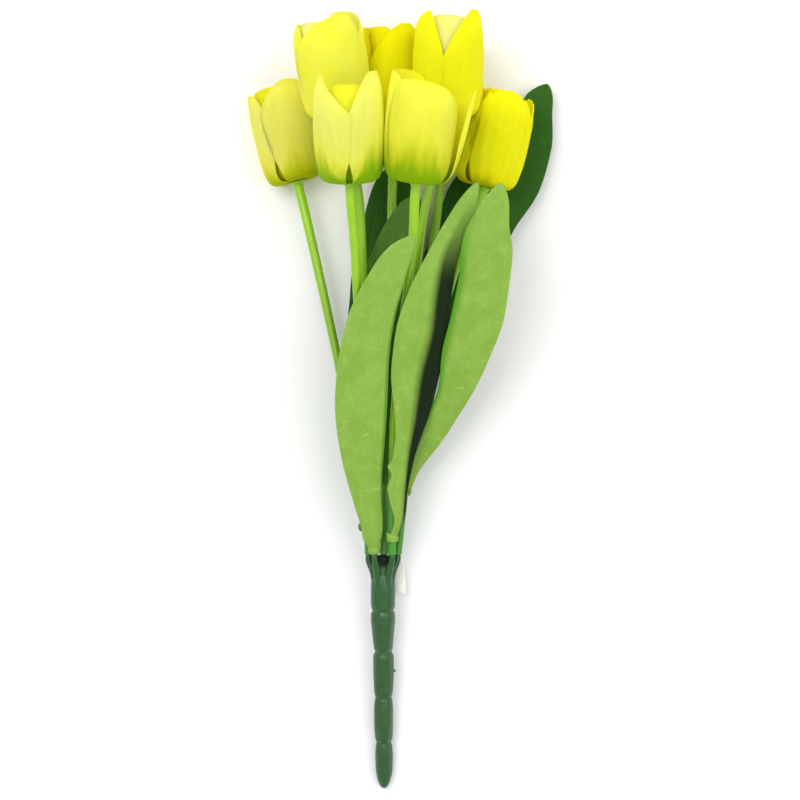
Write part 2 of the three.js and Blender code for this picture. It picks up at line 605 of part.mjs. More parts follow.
// Middle surface through rows of [x, y, z, left width, right width, roll, left bend, right bend].
function bladeSurface(rows, tipLength, fold = 1) {
  return (u, v) => {
    const [x, y, z, leftWidth, rightWidth, roll, leftBend, rightBend] = between(rows, v);
    const [aheadX, aheadY, aheadZ] = between(rows, v + SLOPE_STEP);
    const tangent = new THREE.Vector3(aheadX - x, aheadY - y, aheadZ - z).normalize();
    const { right, above } = crossFrame(tangent);
    const side = right.clone().multiplyScalar(Math.cos(radians(roll)))
      .addScaledVector(above, Math.sin(radians(roll)));
    const lift = above.clone().multiplyScalar(Math.cos(radians(roll)))
      .addScaledVector(right, -Math.sin(radians(roll)));
    const fromTip = tipLength > 0 ? clamp((1 - v) / tipLength, 0, 1) : 1;
    const rounding = Math.max(Math.sqrt(1 - (1 - fromTip) ** 2), TIP_WIDTH_SHARE);
    const bentShare = Math.min(Math.abs(u) / lerp(1, fold, smoothstep(v, 0, FOLD_BEGIN)), 1);
    const bend = radians(u < 0 ? leftBend : rightBend) * bentShare;
    const reach = (u < 0 ? leftWidth : rightWidth) * rounding * Math.abs(u);
    const isFlat = Math.abs(bend) < FLAT_BEND;
    const sideways = isFlat ? reach : (reach * Math.sin(bend)) / bend;
    const upward = isFlat ? 0 : (reach * (1 - Math.cos(bend))) / bend;
    return new THREE.Vector3(x, y, z)
      .addScaledVector(side, Math.sign(u) * sideways)
      .addScaledVector(lift, upward);
  };
}

// Ring round a stem, from one distance along it to another.
function ringOnStem(name, from, to, wall) {
  const curve = stemCurve(STEMS[name]);
  const inner = clearOf(stemRadius(to, curve.getLength()), STEM_SIDES);
  const outer = inner + wall;
  return turnedAlong(curve, [[from, inner], [from, outer], [to, outer], [to, inner]], STEM_SIDES, true);
}

// Leaf: a collar round the stem, and the blade that starts inside the collar's wall.
function leafSolid({ stem, at, side, footRoll, fold, rows }) {
  const curve = stemCurve(STEMS[stem]);
  const { point, tangent } = along(curve, at);
  const { right, above } = crossFrame(tangent);
  const offset = clearOf(stemRadius(at, curve.getLength()), STEM_SIDES) + COLLAR_WALL / 2;
  const foot = point
    .addScaledVector(above, side * offset * Math.cos(radians(footRoll)))
    .addScaledVector(right, -side * offset * Math.sin(radians(footRoll)));
  const footBend = -side * FOOT_BEND;
  const footRow = [...foot.toArray(), FOOT_HALF_WIDTH, FOOT_HALF_WIDTH, footRoll, footBend, footBend];
  const surface = bladeSurface([footRow, ...rows], TIP_LENGTH, fold);
  const collar = ringOnStem(stem, at - COLLAR_BELOW, at + COLLAR_ABOVE, COLLAR_WALL);
  return fuse([collar, blade(surface, LEAF_CELLS, BLADE_THICKNESS)]);
}

function tagSolid() {
  const wrap = ringOnStem('right', TAG_AT - TAG_HALF_WRAP, TAG_AT + TAG_HALF_WRAP, TAG_WALL);
  return fuse([wrap, blade(bladeSurface(TAG_ROWS, 0), TAG_CELLS, TAG_WALL)]);
}

const bunch = new THREE.Group();

function place(name, solid, finish) {
  const [color, roughness] = FINISHES[finish];
  const material = new THREE.MeshStandardMaterial({ color, roughness, metalness: 0 });
  const mesh = new THREE.Mesh(toGeometry(solid), material);
  mesh.name = name;
  bunch.add(mesh);
}

place('handle', handleSolid(), 'handle');
for (const [name, { bloom }] of Object.entries(STEMS)) {
  place(`stem_${name}`, stemSolid(name), 'stem');
  place(`bloom_${name}_outer_petals`, petalLayer(bloom, 'outer'), 'petalOuter');
  place(`bloom_${name}_inner_petals`, petalLayer(bloom, 'inner'), 'petalInner');
  place(`bloom_${name}_cap`, capSolid(bloom), 'cap');
}
for (const [name, leaf] of Object.entries(LEAVES)) {
  place(`leaf_${name}`, leafSolid(leaf), FRONT_LEAVES.includes(name) ? 'leafFront' : 'leafBack');
}
place('tag', tagSolid(), 'tag');

bunch.position.copy(CENTRE_SHIFT);

export default bunch;
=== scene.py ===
import math

import bpy
import numpy as np
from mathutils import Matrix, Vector


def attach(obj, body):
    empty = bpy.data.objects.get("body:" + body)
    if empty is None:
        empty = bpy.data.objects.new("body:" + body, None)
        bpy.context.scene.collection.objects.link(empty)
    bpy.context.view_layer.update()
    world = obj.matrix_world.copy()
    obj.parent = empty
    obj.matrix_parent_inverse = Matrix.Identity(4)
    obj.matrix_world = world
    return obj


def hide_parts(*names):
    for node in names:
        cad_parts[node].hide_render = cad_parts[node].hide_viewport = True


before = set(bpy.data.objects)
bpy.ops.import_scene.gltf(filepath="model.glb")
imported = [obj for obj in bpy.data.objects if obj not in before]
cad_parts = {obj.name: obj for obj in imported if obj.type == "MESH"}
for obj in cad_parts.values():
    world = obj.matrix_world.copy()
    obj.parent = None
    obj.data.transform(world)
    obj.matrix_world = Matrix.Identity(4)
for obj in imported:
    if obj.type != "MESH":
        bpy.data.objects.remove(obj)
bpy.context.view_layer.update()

# Dimensions of the bunch, in millimetres and degrees. Most are those of the solids.
MM = 0.001
GAP = 0.3
CENTRE_SHIFT = np.array([-1.0, 4.6, 0.0])
UP = np.array([0.0, 0.0, 1.0])

# Handle: its middle line, each moulded segment as [distance along, radius], and its stubs.
HANDLE_TIP = np.array([-9.3, -227.2, 2.9])
CROWN_TOP = np.array([-9.9, -99.0, 18.6])
HANDLE_SEGMENTS = [
    [[0, 0], [0.5, 1.2], [1.4, 2.1], [4, 3.4], [9, 4.5], [14, 4.85], [20, 5], [25, 4.75], [27, 4.45],
     [28, 4]],
    [[28, 4], [29, 4.5], [31, 4.95], [36, 5.3], [43, 5.45], [48, 5.4], [52, 5.1], [54, 4.8], [55, 4.4]],
    [[55, 4.4], [56, 4.9], [57.5, 5.2], [63, 5.6], [70, 5.85], [75, 5.9], [79.5, 5.75], [81, 5.2], [82, 4.5]],
    [[82, 4.5], [83, 5], [84.5, 5.4], [92, 6.1], [97, 6.6], [101, 6.9], [104.5, 6.7], [105.7, 6.3],
     [106.5, 5.8]],
    [[106.5, 5.8], [107.5, 6.4], [109, 6.75], [115, 6.9], [121, 6.9], [126, 6.5], [127.6, 5.9], [128.5, 5],
     [128.5, 0]],
]
STUB_RADIUS = 1.75
STUB_ROOT_RADIUS = 2.4
STUB_ROOT_DEPTH = 8
STUB_ROOT_SHARE = 0.48
STUB_RING_SHARE = 0.64
STUB_STRAIGHT = 3
SPIGOT_RADIUS = 1.1
SPIGOT_LENGTH = 10
BORE_DEPTH = 11
STUB_NUB_RADIUS = 1.1
STUBS_WITH_NUB = ["left", "right"]
# The handle's surface: depth of its flats and sway, its seam, and where all of them fade in and out.
FLAT_DEPTH = 0.16
SWAY_DEPTH = 0.1
SEAM_HEIGHT = 0.14
SEAM_TURN = 0.1
SEAM_WIDTH = 0.1
MARKS_START = (2, 12)
MARKS_END = (122, 127)
# A spot of flash, and the filler between the stubs as [distance past the crown's top, radius].
FLASH_AT = 70.5
FLASH_OUT = 5.9
FLASH_RADIUS = 1.2
FLASH_STRETCH = (1.2, 0.8, 0.7)
CROWN_FILLER = [[-4, 0], [-4, 6], [2, 5.6], [6, 4.9], [9, 4.6], [9.2, 0]]
# Painted shade in the hollow between the stubs: how far past the crown's top its centre lies, its radius and
# its core's.
HOLLOW_AHEAD = 6
HOLLOW_RADIUS = 8
HOLLOW_CORE = 5.5

# Stems and the flange and pin at the top of each.
STEM_FOOT_RADIUS = 2.2
STEM_TOP_RADIUS = 2.7
STRAIGHT_FOOT = 14
STRAIGHT_TOP = 9
FLANGE_RADIUS = 5.5
FLANGE_HEIGHT = 3
FLARE_SHARES = (0.15, 0.3, 0.45, 0.6, 0.72, 0.82, 0.9)
FLARE_POWER = 2.2
FLANGE_LIP = (0.15, 0.1)
FOOT_CHAMFER = 0.25
# Slight unevenness of a stem: its depth and pitch, and where it fades in, and out below the flange.
STEM_SWAY = 0.07
SWAY_PITCH = 37
SWAY_START = (10, 24)
SWAY_END = 8
PIN_RADIUS = 1.5
PIN_LENGTH = 7.2
KNOB_RADIUS = 2.0
KNOB_OUT = 0.8
KNOB_STRETCH = (1, 1.35, 1)
KNOB_AT = 17
STEM_WITH_KNOB = "left"

# Bloom: profiles as [radius, height], half widths of a petal round the cup, and the cap.
PETALS = 3
CLOTH = 0.55
DISC_THICKNESS = 1
DISC_RADIUS = 7
PINWHEEL = 0.6
WALL_SPAN = (0.15, 0.45)
INNER_HEIGHT_SHARE = 0.96
MODEL_RADIUS = 20
MODEL_HEIGHT = 58
PETAL_FORMS = {
    "outer": {
        "profile": [[5, 0.5], [9.5, 0.5], [14.6, 1.4], [17.9, 5.2], [19.5, 13], [20, 24], [19.8, 37],
                    [18.6, 49], [16.4, 58]],
        "half_angles": [58, 56, 54, 54, 60, 65, 66, 62, 58],
    },
    "inner": {
        "profile": [[5, 1.8], [8, 1.8], [11.2, 3.2], [14.1, 7.3], [15.5, 14], [16.2, 24], [15.8, 36],
                    [14.6, 47], [12.6, 56]],
        "half_angles": [58, 56, 54, 56, 60, 64, 64, 60, 56],
    },
}
CAP_FOOT = 2.6
CAP_BORE_DEPTH = 4.9
CAP_PROFILE = [[2.6, 3.3], [2.9, 3.6], [4.6, 3.6], [5.4, 3.4], [9, 2.7], [13, 2.3], [17, 2.15], [18.6, 2.5],
               [20, 3.1], [21.2, 3], [22, 2], [22, 0]]
LOBE_DEPTH = 0.45
LOBE_START = (17, 19.5)

# Leaves and tag.
BLADE_THICKNESS = 0.7
TIP_LENGTH = 0.075
TIP_WIDTH_SHARE = 0.12
FOOT_HALF_WIDTH = 3.7
FOOT_BEND = 65
FOLD_BEGIN = 0.12
COLLAR_BELOW = 3
COLLAR_ABOVE = 2
COLLAR_WALL = 0.9
LEAF_WITH_NUB = "front_right"
COLLAR_NUB_RADIUS = 1.3
COLLAR_NUB_STRETCH = (1, 1.6, 1)
COLLAR_NUB_SIDE = (0.8, 0.6)
TAG_WALL = 0.5
TAG_AT = 2.6
TAG_HALF_WRAP = 1.8
TAG_WAVES = 0.25
# The tag's rows, in the form that a leaf's have.
TAG_ROWS = [
    [-1.2, -87.6, 11.9, 1.7, 0],
    [-0.3, -95, 10.4, 2.4, 0],
    [0.4, -104, 8.8, 2.7, -6],
    [0.3, -112.4, 7.8, 2.9, -12],
]

# Each stem's route, and its bloom's base and top, radius, and roll of the first outer petal.
# A petal's row: share of the height it reaches, place of its top across it, bluntness left and
# right of the top, share of the height that its edges drop, how far its tip leans out (0 in a row of
# five numbers) and its width as a share of the usual one (1 in a row of five or six). Where lap is
# -1, the left side edges lie over the next petals, and else the right ones do.
STEMS = {
    "left": {
        "route": [[-16.5, -89.7, 14.5], [-26.6, -28.9, 16], [-35.8, 21.9, 16.6], [-47.9, 77.9, 17.2]],
        "base": [-59.4, 126.2, 17.6], "top": [-74.9, 184.5, 17.6],
        "radius": 18.3, "roll": 29,
        "outer": [[0.95, 0, 1.8, 4, 0.18], [0.92, 0, 3, 3, 0.18], [0.905, 0.2, 4, 5, 0.14, -2]],
        "inner": [[0.95, 0, 4, 4, 0.2], [0.93, 0, 4, 4, 0.2], [0.98, 0, 5, 5, 0.16]],
    },
    "upper_left": {
        "route": [[-18.1, -89.2, 20.8], [-20.5, 0, 33], [-20.9, 56.5, 41], [-24.1, 120.3, 50.5]],
        "base": [-33.8, 157.7, 55], "top": [-41.8, 215.4, 63],
        "radius": 19.6, "roll": 3, "lap": -1,
        "outer": [[0.94, 0.4, 2.2, 6, 0.24, 0, 1.2], [0.99, 0.5, 2.5, 4, 0.2], [0.93, 0, 4, 4, 0.16, 1]],
        "inner": [[0.97, 0, 5, 5, 0.2], [0.97, 0, 5, 5, 0.14], [0.98, 0, 5, 5, 0.14]],
    },
    "upper_middle": {
        "route": [[-9.2, -89.3, 19.6], [-7.5, 0, 20.5], [-5.2, 86, 24.5]],
        "base": [-4, 158.5, 31], "top": [-5.1, 216, 38],
        "radius": 17.4, "roll": 10, "lap": -1,
        "outer": [[0.95, 0.25, 1.6, 6, 0.3], [0.93, 0, 5, 5, 0.14], [0.94, 0, 5, 5, 0.14]],
        "inner": [[0.93, 0, 5, 5, 0.16], [0.93, 0, 5, 5, 0.16], [0.99, 0, 7, 7, 0.13]],
    },
    "upper_right": {
        "route": [[-1.2, -89.2, 20.8], [2.6, -52.2, 25.2], [4.8, 0, 32], [9.3, 72.2, 42], [16.8, 122.1, 50]],
        "base": [25.6, 157.7, 55], "top": [27.6, 215.9, 63.5],
        "radius": 19.2, "roll": 49,
        "outer": [[1, 0, 1.5, 5, 0.36], [0.96, 0, 4, 4, 0.16], [0.98, 0.5, 1.7, 1.4, 0.33]],
        "inner": [[0.96, 0, 5, 5, 0.16], [0.96, 0, 5, 5, 0.16], [1.01, 0, 6, 6, 0.14]],
    },
    "front_left": {
        "route": [[-14.6, -88.7, 26.3], [-20.2, 0, 48], [-23.3, 52.6, 61.5], [-25.2, 87.8, 71]],
        "base": [-27.1, 118.6, 81], "top": [-28.3, 175.2, 97],
        "radius": 18.8, "roll": 60,
        "outer": [[1.02, -0.08, 2, 4, 0.34], [0.88, 0, 3, 3, 0.18], [1, 0.08, 3, 0.85, 0.24]],
        "inner": [[0.92, 0, 4, 4, 0.2], [0.92, 0, 4, 4, 0.2], [0.99, 0, 5, 5, 0.14]],
    },
    "front_right": {
        "route": [[-4.6, -88.7, 26.3], [-3.4, -11.3, 45], [0.6, 33.4, 55], [3.9, 60.8, 62], [7.4, 92.6, 72]],
        "base": [9, 118.6, 82], "top": [15, 174.5, 97],
        "radius": 18.8, "roll": 7, "lap": -1,
        "outer": [[0.97, -0.3, 7, 2.5, 0.22, 2.5, 1.14], [0.92, -0.75, 3, 1.5, 0.3, 11],
                  [1, 0.1, 6, 8, 0.14, 4.4, 1.2]],
        "inner": [[0.95, 0, 4, 4, 0.2], [0.92, 0, 4, 4, 0.2], [0.99, 0, 6, 6, 0.12]],
    },
    "right": {
        "route": [[-2.9, -89.7, 14.5], [6.9, -23.1, 19], [22.9, 45.8, 26], [41.5, 103.2, 33.5]],
        "base": [47.7, 120.9, 36.6], "top": [60.1, 177.8, 40.3],
        "radius": 19.4, "roll": 20,
        "outer": [[0.94, -0.15, 4, 1.6, 0.18, -1], [0.94, 0, 5, 5, 0.1], [0.97, 0.2, 4, 4, 0.17, -3.3]],
        "inner": [[0.94, 0, 5, 5, 0.13], [1.03, 0, 4, 4, 0.14], [1, 0, 5, 5, 0.13]],
    },
    "back": {
        "route": [[-9.6, -90, 11.3], [0, -29, 12.5], [12.2, 46.3, 14], [20.2, 97.7, 15], [23.7, 128.2, 16]],
        "base": [28, 158, 16.7], "top": [31.4, 216, 16.7],
        "radius": 17.6, "roll": 45,
        "outer": [[0.96, 0, 2.8, 2.8, 0.22]] * PETALS,
        "inner": [[0.96, 0, 4, 4, 0.18]] * PETALS,
    },
}

# Each leaf's stem, its collar's distance from the foot, the side it grows on, the roll of its
# foot, the share of its half width that the bend takes up (all of it unless given), and its rows:
# x, y, z, left width, right width, roll, bends of the left and right half. A row of five has one
# width and one bend for both halves, and no roll.
LEAVES = {
    "front_left": {"stem": "front_left", "at": 4.5, "side": 1, "foot_roll": 0, "rows": [
        [-15.6, -75.6, 33.9, 6.6, 6.4, 0, -50, -50],
        [-18.1, -56.6, 39.5, 8.4, 8.3, 0, -25, -25],
        [-21, -30.9, 47.5, 12.3, -8],
        [-22, 0, 55, 14.2, 14.8, 0, 6, 6],
        [-17.7, 29.3, 62.2, 15, 12.4, 0, 6, 6],
        [-9.9, 54.5, 68.6, 13.7, 9, 0, 5, 5],
        [-2.7, 72.3, 73.2, 10.7, 7.1, 0, 0, 0],
        [7.1, 89.5, 77, 4.6, 3.7, 0, 0, 0],
    ]},
    "front_middle": {"stem": "front_right", "at": 11.5, "side": 1, "foot_roll": -55, "fold": 0.25, "rows": [
        [0.9, -67.6, 35.2, 4.6, 4.8, -45, -40, -50],
        [2.3, -50.8, 41, 8.6, 3.8, -5, 0, -75],
        [4, -30.9, 46.8, 8.9, 5.4, 0, 0, -80],
        [7, -8.4, 52.6, 9.8, 12, 0, -5, -78],
        [10, 15, 59.3, 15.1, 14.8, 0, -8, -76],
        [15.8, 38.7, 65.3, 17.9, 14, 0, -5, -74],
        [18.5, 60.5, 69.5, 12.7, 13.5, 0, 0, -72],
        [22.5, 79, 70.6, 7, 12, 0, 0, -65],
        [31.5, 98, 71.4, 6, 8, 0, 0, -40],
        [42.8, 119.2, 71.5, 4, 3.6, 0, 0, 0],
    ]},
    "front_right": {"stem": "upper_right", "at": 38, "side": 1, "foot_roll": -20, "rows": [
        [7.4, -41.6, 31, 3.6, 3.8, -20, -45, -45],
        [14.2, -27.9, 34, 5.6, 5.4, -20, -20, -20],
        [22.6, -13, 38.3, 8.8, 8, -20, -5, -5],
        [30.4, 4.5, 46, 10.7, 9.4, -15, 5, 5],
        [37.9, 26.8, 54.8, 13.4, 12.8, -8, 8, 8],
        [42.7, 46.5, 61.4, 15.2, 14.6, 0, 8, 8],
        [46.8, 67.1, 68.1, 13.6, 14.2, 0, 5, 5],
        [47.6, 85.9, 73.9, 13.7, 13.6, 0, 3, 3],
        [50.7, 100.4, 77.1, 9.4, 9.5, 0, 0, 0],
        [54.4, 118.1, 80, 4.4, 5.2, 0, 0, 0],
    ]},
    "middle": {"stem": "upper_middle", "at": 44.5, "side": 1, "foot_roll": 0, "rows": [
        [-8.7, -34.4, 26, 5, -40],
        [-10.8, -14.3, 27, 8.8, 8.8, 0, -10, -20],
        [-12.6, 8.6, 27, 12.2, 0],
        [-11.4, 37.2, 27.5, 14.3, 8],
        [-8, 65.6, 31, 14, 8],
        [-2.8, 86.3, 35, 11.8, 5],
        [3.4, 101.8, 39.5, 8.5, 0],
        [10.7, 113.9, 43, 6, 0],
    ]},
    "back_left": {"stem": "left", "at": 40.5, "side": -1, "foot_roll": 0, "rows": [
        [-22.7, -40.7, 10, 5, 45],
        [-21, -20.4, 8.5, 8.8, 20],
        [-19.2, 2.9, 8, 12.2, 8],
        [-17.5, 29.1, 8, 14.5, 6],
        [-15.1, 58.2, 8, 14.6, 6],
        [-12.2, 87.3, 8, 12.8, 5],
        [-9.3, 112.3, 8.3, 9.8, 5],
        [-6.4, 135, 9, 6.3, 0],
    ]},
    "back_middle": {"stem": "upper_left", "at": 58, "side": -1, "foot_roll": 0, "rows": [
        [-17.8, -23, 19.5, 5, 5, -10, 40, 35],
        [-15, -2.9, 14.8, 8.8, 8.8, -8, 15, 5],
        [-11.6, 22, 14.2, 12.2, 8],
        [-8.7, 47.5, 14, 14.3, 6],
        [-5.8, 75.3, 14.3, 14.2, 6],
        [-2.9, 101.3, 14.8, 12.5, 5],
        [-1.2, 124.3, 15.5, 9.5, 5],
        [0.6, 147.4, 16, 6.3, 0],
    ]},
    "back_right": {"stem": "right", "at": 107, "side": -1, "foot_roll": 0, "rows": [
        [19.1, 24.8, 16.5, 5.2, 45],
        [26.1, 43.4, 13.5, 9, 20],
        [34.8, 63.8, 12.3, 12.3, 8],
        [44.7, 85.9, 11.5, 14.5, 6],
        [54.6, 107.4, 11, 15, 13.8, 0, 6, 6],
        [66.2, 129, 10.5, 14.8, 17.4, 0, 6, 6],
        [73.8, 149.9, 10, 13.5, 13.4, 0, 6, 6],
        [80.2, 168.5, 10, 10, 8.8, 0, 5, 5],
        [85.4, 183.6, 10.5, 6, 0],
    ]},
    "under": {"stem": "back", "at": 46.5, "side": -1, "foot_roll": 0, "rows": [
        [-0.6, -35, 7, 5, 45],
        [3.5, -14.6, 5.2, 8.8, 20],
        [8.8, 8.8, 4.5, 12.2, 8],
        [15.2, 35.1, 4.2, 14.4, 6],
        [21.6, 60.2, 4.2, 14.6, 6],
        [28, 84.7, 4.2, 13, 5],
        [33.9, 109.2, 4.5, 10.3, 5],
        [39.1, 134.3, 5, 6.3, 0],
    ]},
}

# Fineness of the dressed pieces: cells across and along, and sides round.
PETAL_CELLS = (36, 54)
LEAF_CELLS = (32, 170)
TAG_CELLS = (8, 30)
STEM_SIDES = 28
STEM_RINGS = 130
COLLAR_SIDES = 28
HANDLE_SIDES = 56
STUB_SIDES = 18
STUB_RINGS = 16
SEGMENT_STEPS = 30
CUP_SIDES = 36
BALL_RINGS = 10
BALL_SIDES = 16
HANDLE_VOXEL = 0.36
FILLET_ROUNDS = 4
SHARP_ANGLE = 50
LINE_SAMPLES = 900
# Rounding of hard edges, and a blade's thinner rim: its width in cells and its share of the thickness.
EDGE_BREAK = 0.3
RIM_CELLS = 2.5
RIM_SHARE = 0.6
# Step for slopes, least step between rows, and the bend under which a blade counts as flat.
SLOPE_STEP = 1e-3
LEAST_STEP = 1e-6
FLAT_BEND = 1e-4


# Shapes

def unit(vectors):
    """The same vectors, each one unit long."""
    return vectors / np.linalg.norm(vectors, axis=-1, keepdims=True)


def ramp(value, start, end):
    """Smooth rise from 0 at start to 1 at end."""
    share = np.clip((value - start) / (end - start), 0, 1)
    return share * share * (3 - 2 * share)


def hump(value, centre, width):
    """Smooth bump of height 1 at its centre."""
    return np.exp(-(((value - centre) / width) ** 2))


def ripple(u, v, seed, across, along, waves=6):
    """Seeded smooth unevenness over a blade, mostly between -1 and 1."""
    draw = np.random.default_rng(seed)
    total = np.zeros(np.broadcast(u, v).shape)
    for _ in range(waves):
        crosswise = draw.uniform(*across) * draw.choice([-1, 1])
        lengthwise = draw.uniform(*along) * math.tau / 2
        total += np.sin(crosswise * u + lengthwise * v + draw.uniform(0, math.tau))
    return total / math.sqrt(waves)


def between(rows, t):
    """Smooth values between rows of numbers, spaced by their first three numbers."""
    rows = np.asarray(rows, float)
    last = len(rows) - 1
    padded = np.vstack([2 * rows[0] - rows[1], rows, 2 * rows[-1] - rows[-2]])
    steps = np.linalg.norm(np.diff(padded[:, :3], axis=0), axis=1)
    knots = np.sqrt(np.maximum(steps, LEAST_STEP))
    t = np.asarray(t, float)
    index = np.clip(np.floor(t * last).astype(int), 0, last - 1)
    share = (t * last - index)[..., None]
    before, here, there, after = (padded[index + k] for k in range(4))
    near_gap, gap, far_gap = (knots[index + k][..., None] for k in range(3))
    start = ((here - before) / near_gap - (there - before) / (near_gap + gap) + (there - here) / gap) * gap
    end = ((there - here) / gap - (after - here) / (gap + far_gap) + (after - there) / far_gap) * gap
    bend = 3 * (there - here) - 2 * start - end
    twist = 2 * (here - there) + start + end
    return here + start * share + bend * share ** 2 + twist * share ** 3


class Run:
    """Middle line of a stem, stub or handle, read by the distance along it."""

    def __init__(self, points):
        self.line = between(points, np.linspace(0, 1, LINE_SAMPLES))
        steps = np.linalg.norm(np.diff(self.line, axis=0), axis=1)
        self.distances = np.concatenate([[0], np.cumsum(steps)])
        self.length = self.distances[-1]
        self.directions = unit(np.gradient(self.line, axis=0))

    def at(self, distance):
        """Points and directions at these distances, carried on straight past both ends."""
        distance = np.asarray(distance, float)
        inside = np.clip(distance, 0, self.length)
        read = lambda table: np.stack([np.interp(inside, self.distances, table[:, k]) for k in range(3)], -1)
        direction = unit(read(self.directions))
        return read(self.line) + direction * (distance - inside)[..., None], direction


def cross_frame(direction):
    """Directions to the right of a run and up from it."""
    right = unit(np.cross(direction, UP))
    return right, unit(np.cross(right, direction))


def turned(run, profile, sides, ring=False, unevenness=None):
    """Closed shell turned round a run. The profile is [distance, radius]."""
    profile = np.asarray(profile, float)
    centres, directions = run.at(profile[:, 0])
    rights, aboves = cross_frame(directions)
    angles = np.arange(sides) / sides * math.tau
    points, faces, along, around = [], [], [], []
    rows = []
    for row, (distance, radius) in enumerate(profile):
        first = len(points)
        if radius == 0:
            points.append(centres[row])
            along.append(distance)
            around.append(0.0)
            rows.append([first])
            continue
        for angle in angles:
            reach = radius if unevenness is None else radius + unevenness(distance, angle)
            outward = rights[row] * math.cos(angle) + aboves[row] * math.sin(angle)
            points.append(centres[row] + reach * outward)
            along.append(distance)
            around.append(angle)
        rows.append(list(range(first, first + sides)))
    if ring:
        rows.append(rows[0])
    for near, far in zip(rows, rows[1:]):
        for side in range(sides):
            after = (side + 1) % sides
            if len(near) == 1 and len(far) == 1:
                continue
            if len(near) == 1:
                faces.append((near[0], far[side], far[after]))
            elif len(far) == 1:
                faces.append((near[side], far[0], near[after]))
            else:
                faces.append((near[side], far[side], far[after], near[after]))
    points = np.array(points)
    return {"points": points, "faces": faces, "across": np.array(around), "along": np.array(along),
            "topside": np.ones(len(points)), "cloth": np.stack([np.array(around), np.array(along)], -1)}


def blade(at, cells, thickness):
    """Thin closed blade on a middle surface at(u, v): u from -1 to 1 across, v from 0 to 1 along."""
    across, lengthwise = cells
    u = np.linspace(-1, 1, across + 1)[None, :]
    v = np.linspace(0, 1, lengthwise + 1)[:, None]
    u, v = np.broadcast_arrays(u, v)
    middle = at(u, v)
    along_u = at(u + SLOPE_STEP, v) - at(u - SLOPE_STEP, v)
    along_v = at(u, v + SLOPE_STEP) - at(u, v - SLOPE_STEP)
    normal = unit(np.cross(along_u, along_v))
    near_edge = np.maximum(ramp(np.abs(u), 1 - RIM_CELLS / across, 1), ramp(v, 1 - RIM_CELLS / lengthwise, 1))
    half = thickness / 2 * (1 - (1 - RIM_SHARE) * near_edge)[..., None]
    crosswise = np.cumsum(np.linalg.norm(np.diff(middle, axis=1, prepend=middle[:, :1]), axis=-1), axis=1)
    crosswise -= crosswise[:, across // 2][:, None]
    downward = np.cumsum(np.linalg.norm(np.diff(middle, axis=0, prepend=middle[:1]), axis=-1), axis=0)
    downward = np.broadcast_to(downward[:, across // 2][:, None], downward.shape)
    faces = []
    points = []
    for face in (1, -1):
        shell = middle + normal * half * face
        lowest = np.where(face * normal[..., 2] < 0, 0.0, thickness)
        shell[..., 2] = np.maximum(shell[..., 2], lowest)
        points.append(shell.reshape(-1, 3))
    width = across + 1
    count = width * (lengthwise + 1)
    index = lambda column, row, rear=0: rear * count + row * width + column
    for row in range(lengthwise):
        for column in range(across):
            corners = [(column, row), (column + 1, row), (column + 1, row + 1), (column, row + 1)]
            faces.append([index(*corner) for corner in corners])
            faces.append([index(*corner, 1) for corner in (corners[0], *corners[:0:-1])])
    rim_line = [(c, 0) for c in range(across)] + [(across, r) for r in range(lengthwise)]
    rim_line += [(c, lengthwise) for c in range(across, 0, -1)] + [(0, r) for r in range(lengthwise, 0, -1)]
    for here, there in zip(rim_line, rim_line[1:] + rim_line[:1]):
        faces.append((index(*here), index(*here, 1), index(*there, 1), index(*there)))
    twice = lambda table: np.tile(table.reshape(-1), 2)
    return {"points": np.vstack(points), "faces": faces, "across": twice(u), "along": twice(v),
            "topside": np.repeat([1.0, 0.0], count),
            "cloth": np.stack([twice(crosswise), twice(downward)], -1)}


def clear_of(radius):
    """Radius of a hole that clears a rod of this radius."""
    return radius + GAP


def bloom_frame(stem):
    """Base of a bloom, the direction of its axis, its height, and its front and right."""
    base, top = np.array(stem["base"], float), np.array(stem["top"], float)
    axis = unit(top - base)
    front = unit(UP - axis * axis[2])
    return base, axis, np.linalg.norm(top - base), front, np.cross(axis, front)


def stem_run(stem):
    """The stem's middle line, straight at its foot and under its bloom."""
    foot, following, *rest = (np.array(point, float) for point in stem["route"])
    base, axis, *_ = bloom_frame(stem)
    direction = unit(following - foot)
    return Run([foot, foot + direction * STRAIGHT_FOOT, following, *rest, base - axis * STRAIGHT_TOP, base])


RUNS = {name: stem_run(stem) for name, stem in STEMS.items()}


def stem_radius(distance, length):
    """Radius of a stem at a distance from its foot."""
    return STEM_FOOT_RADIUS + (STEM_TOP_RADIUS - STEM_FOOT_RADIUS) * np.clip(distance / length, 0, 1)


def ball(centre, radius, stretch=(1, 1, 1)):
    """Small round moulding mark."""
    run = Run([centre - np.array([0, radius, 0]), centre + np.array([0, radius, 0])])
    turns = np.linspace(0, math.pi, BALL_RINGS)
    profile = [[radius * (1 - math.cos(turn)), radius * math.sin(turn)] for turn in turns]
    profile[0][1] = profile[-1][1] = 0
    shell = turned(run, profile, BALL_SIDES)
    shell["points"] = centre + (shell["points"] - centre) * np.array(stretch)
    return shell


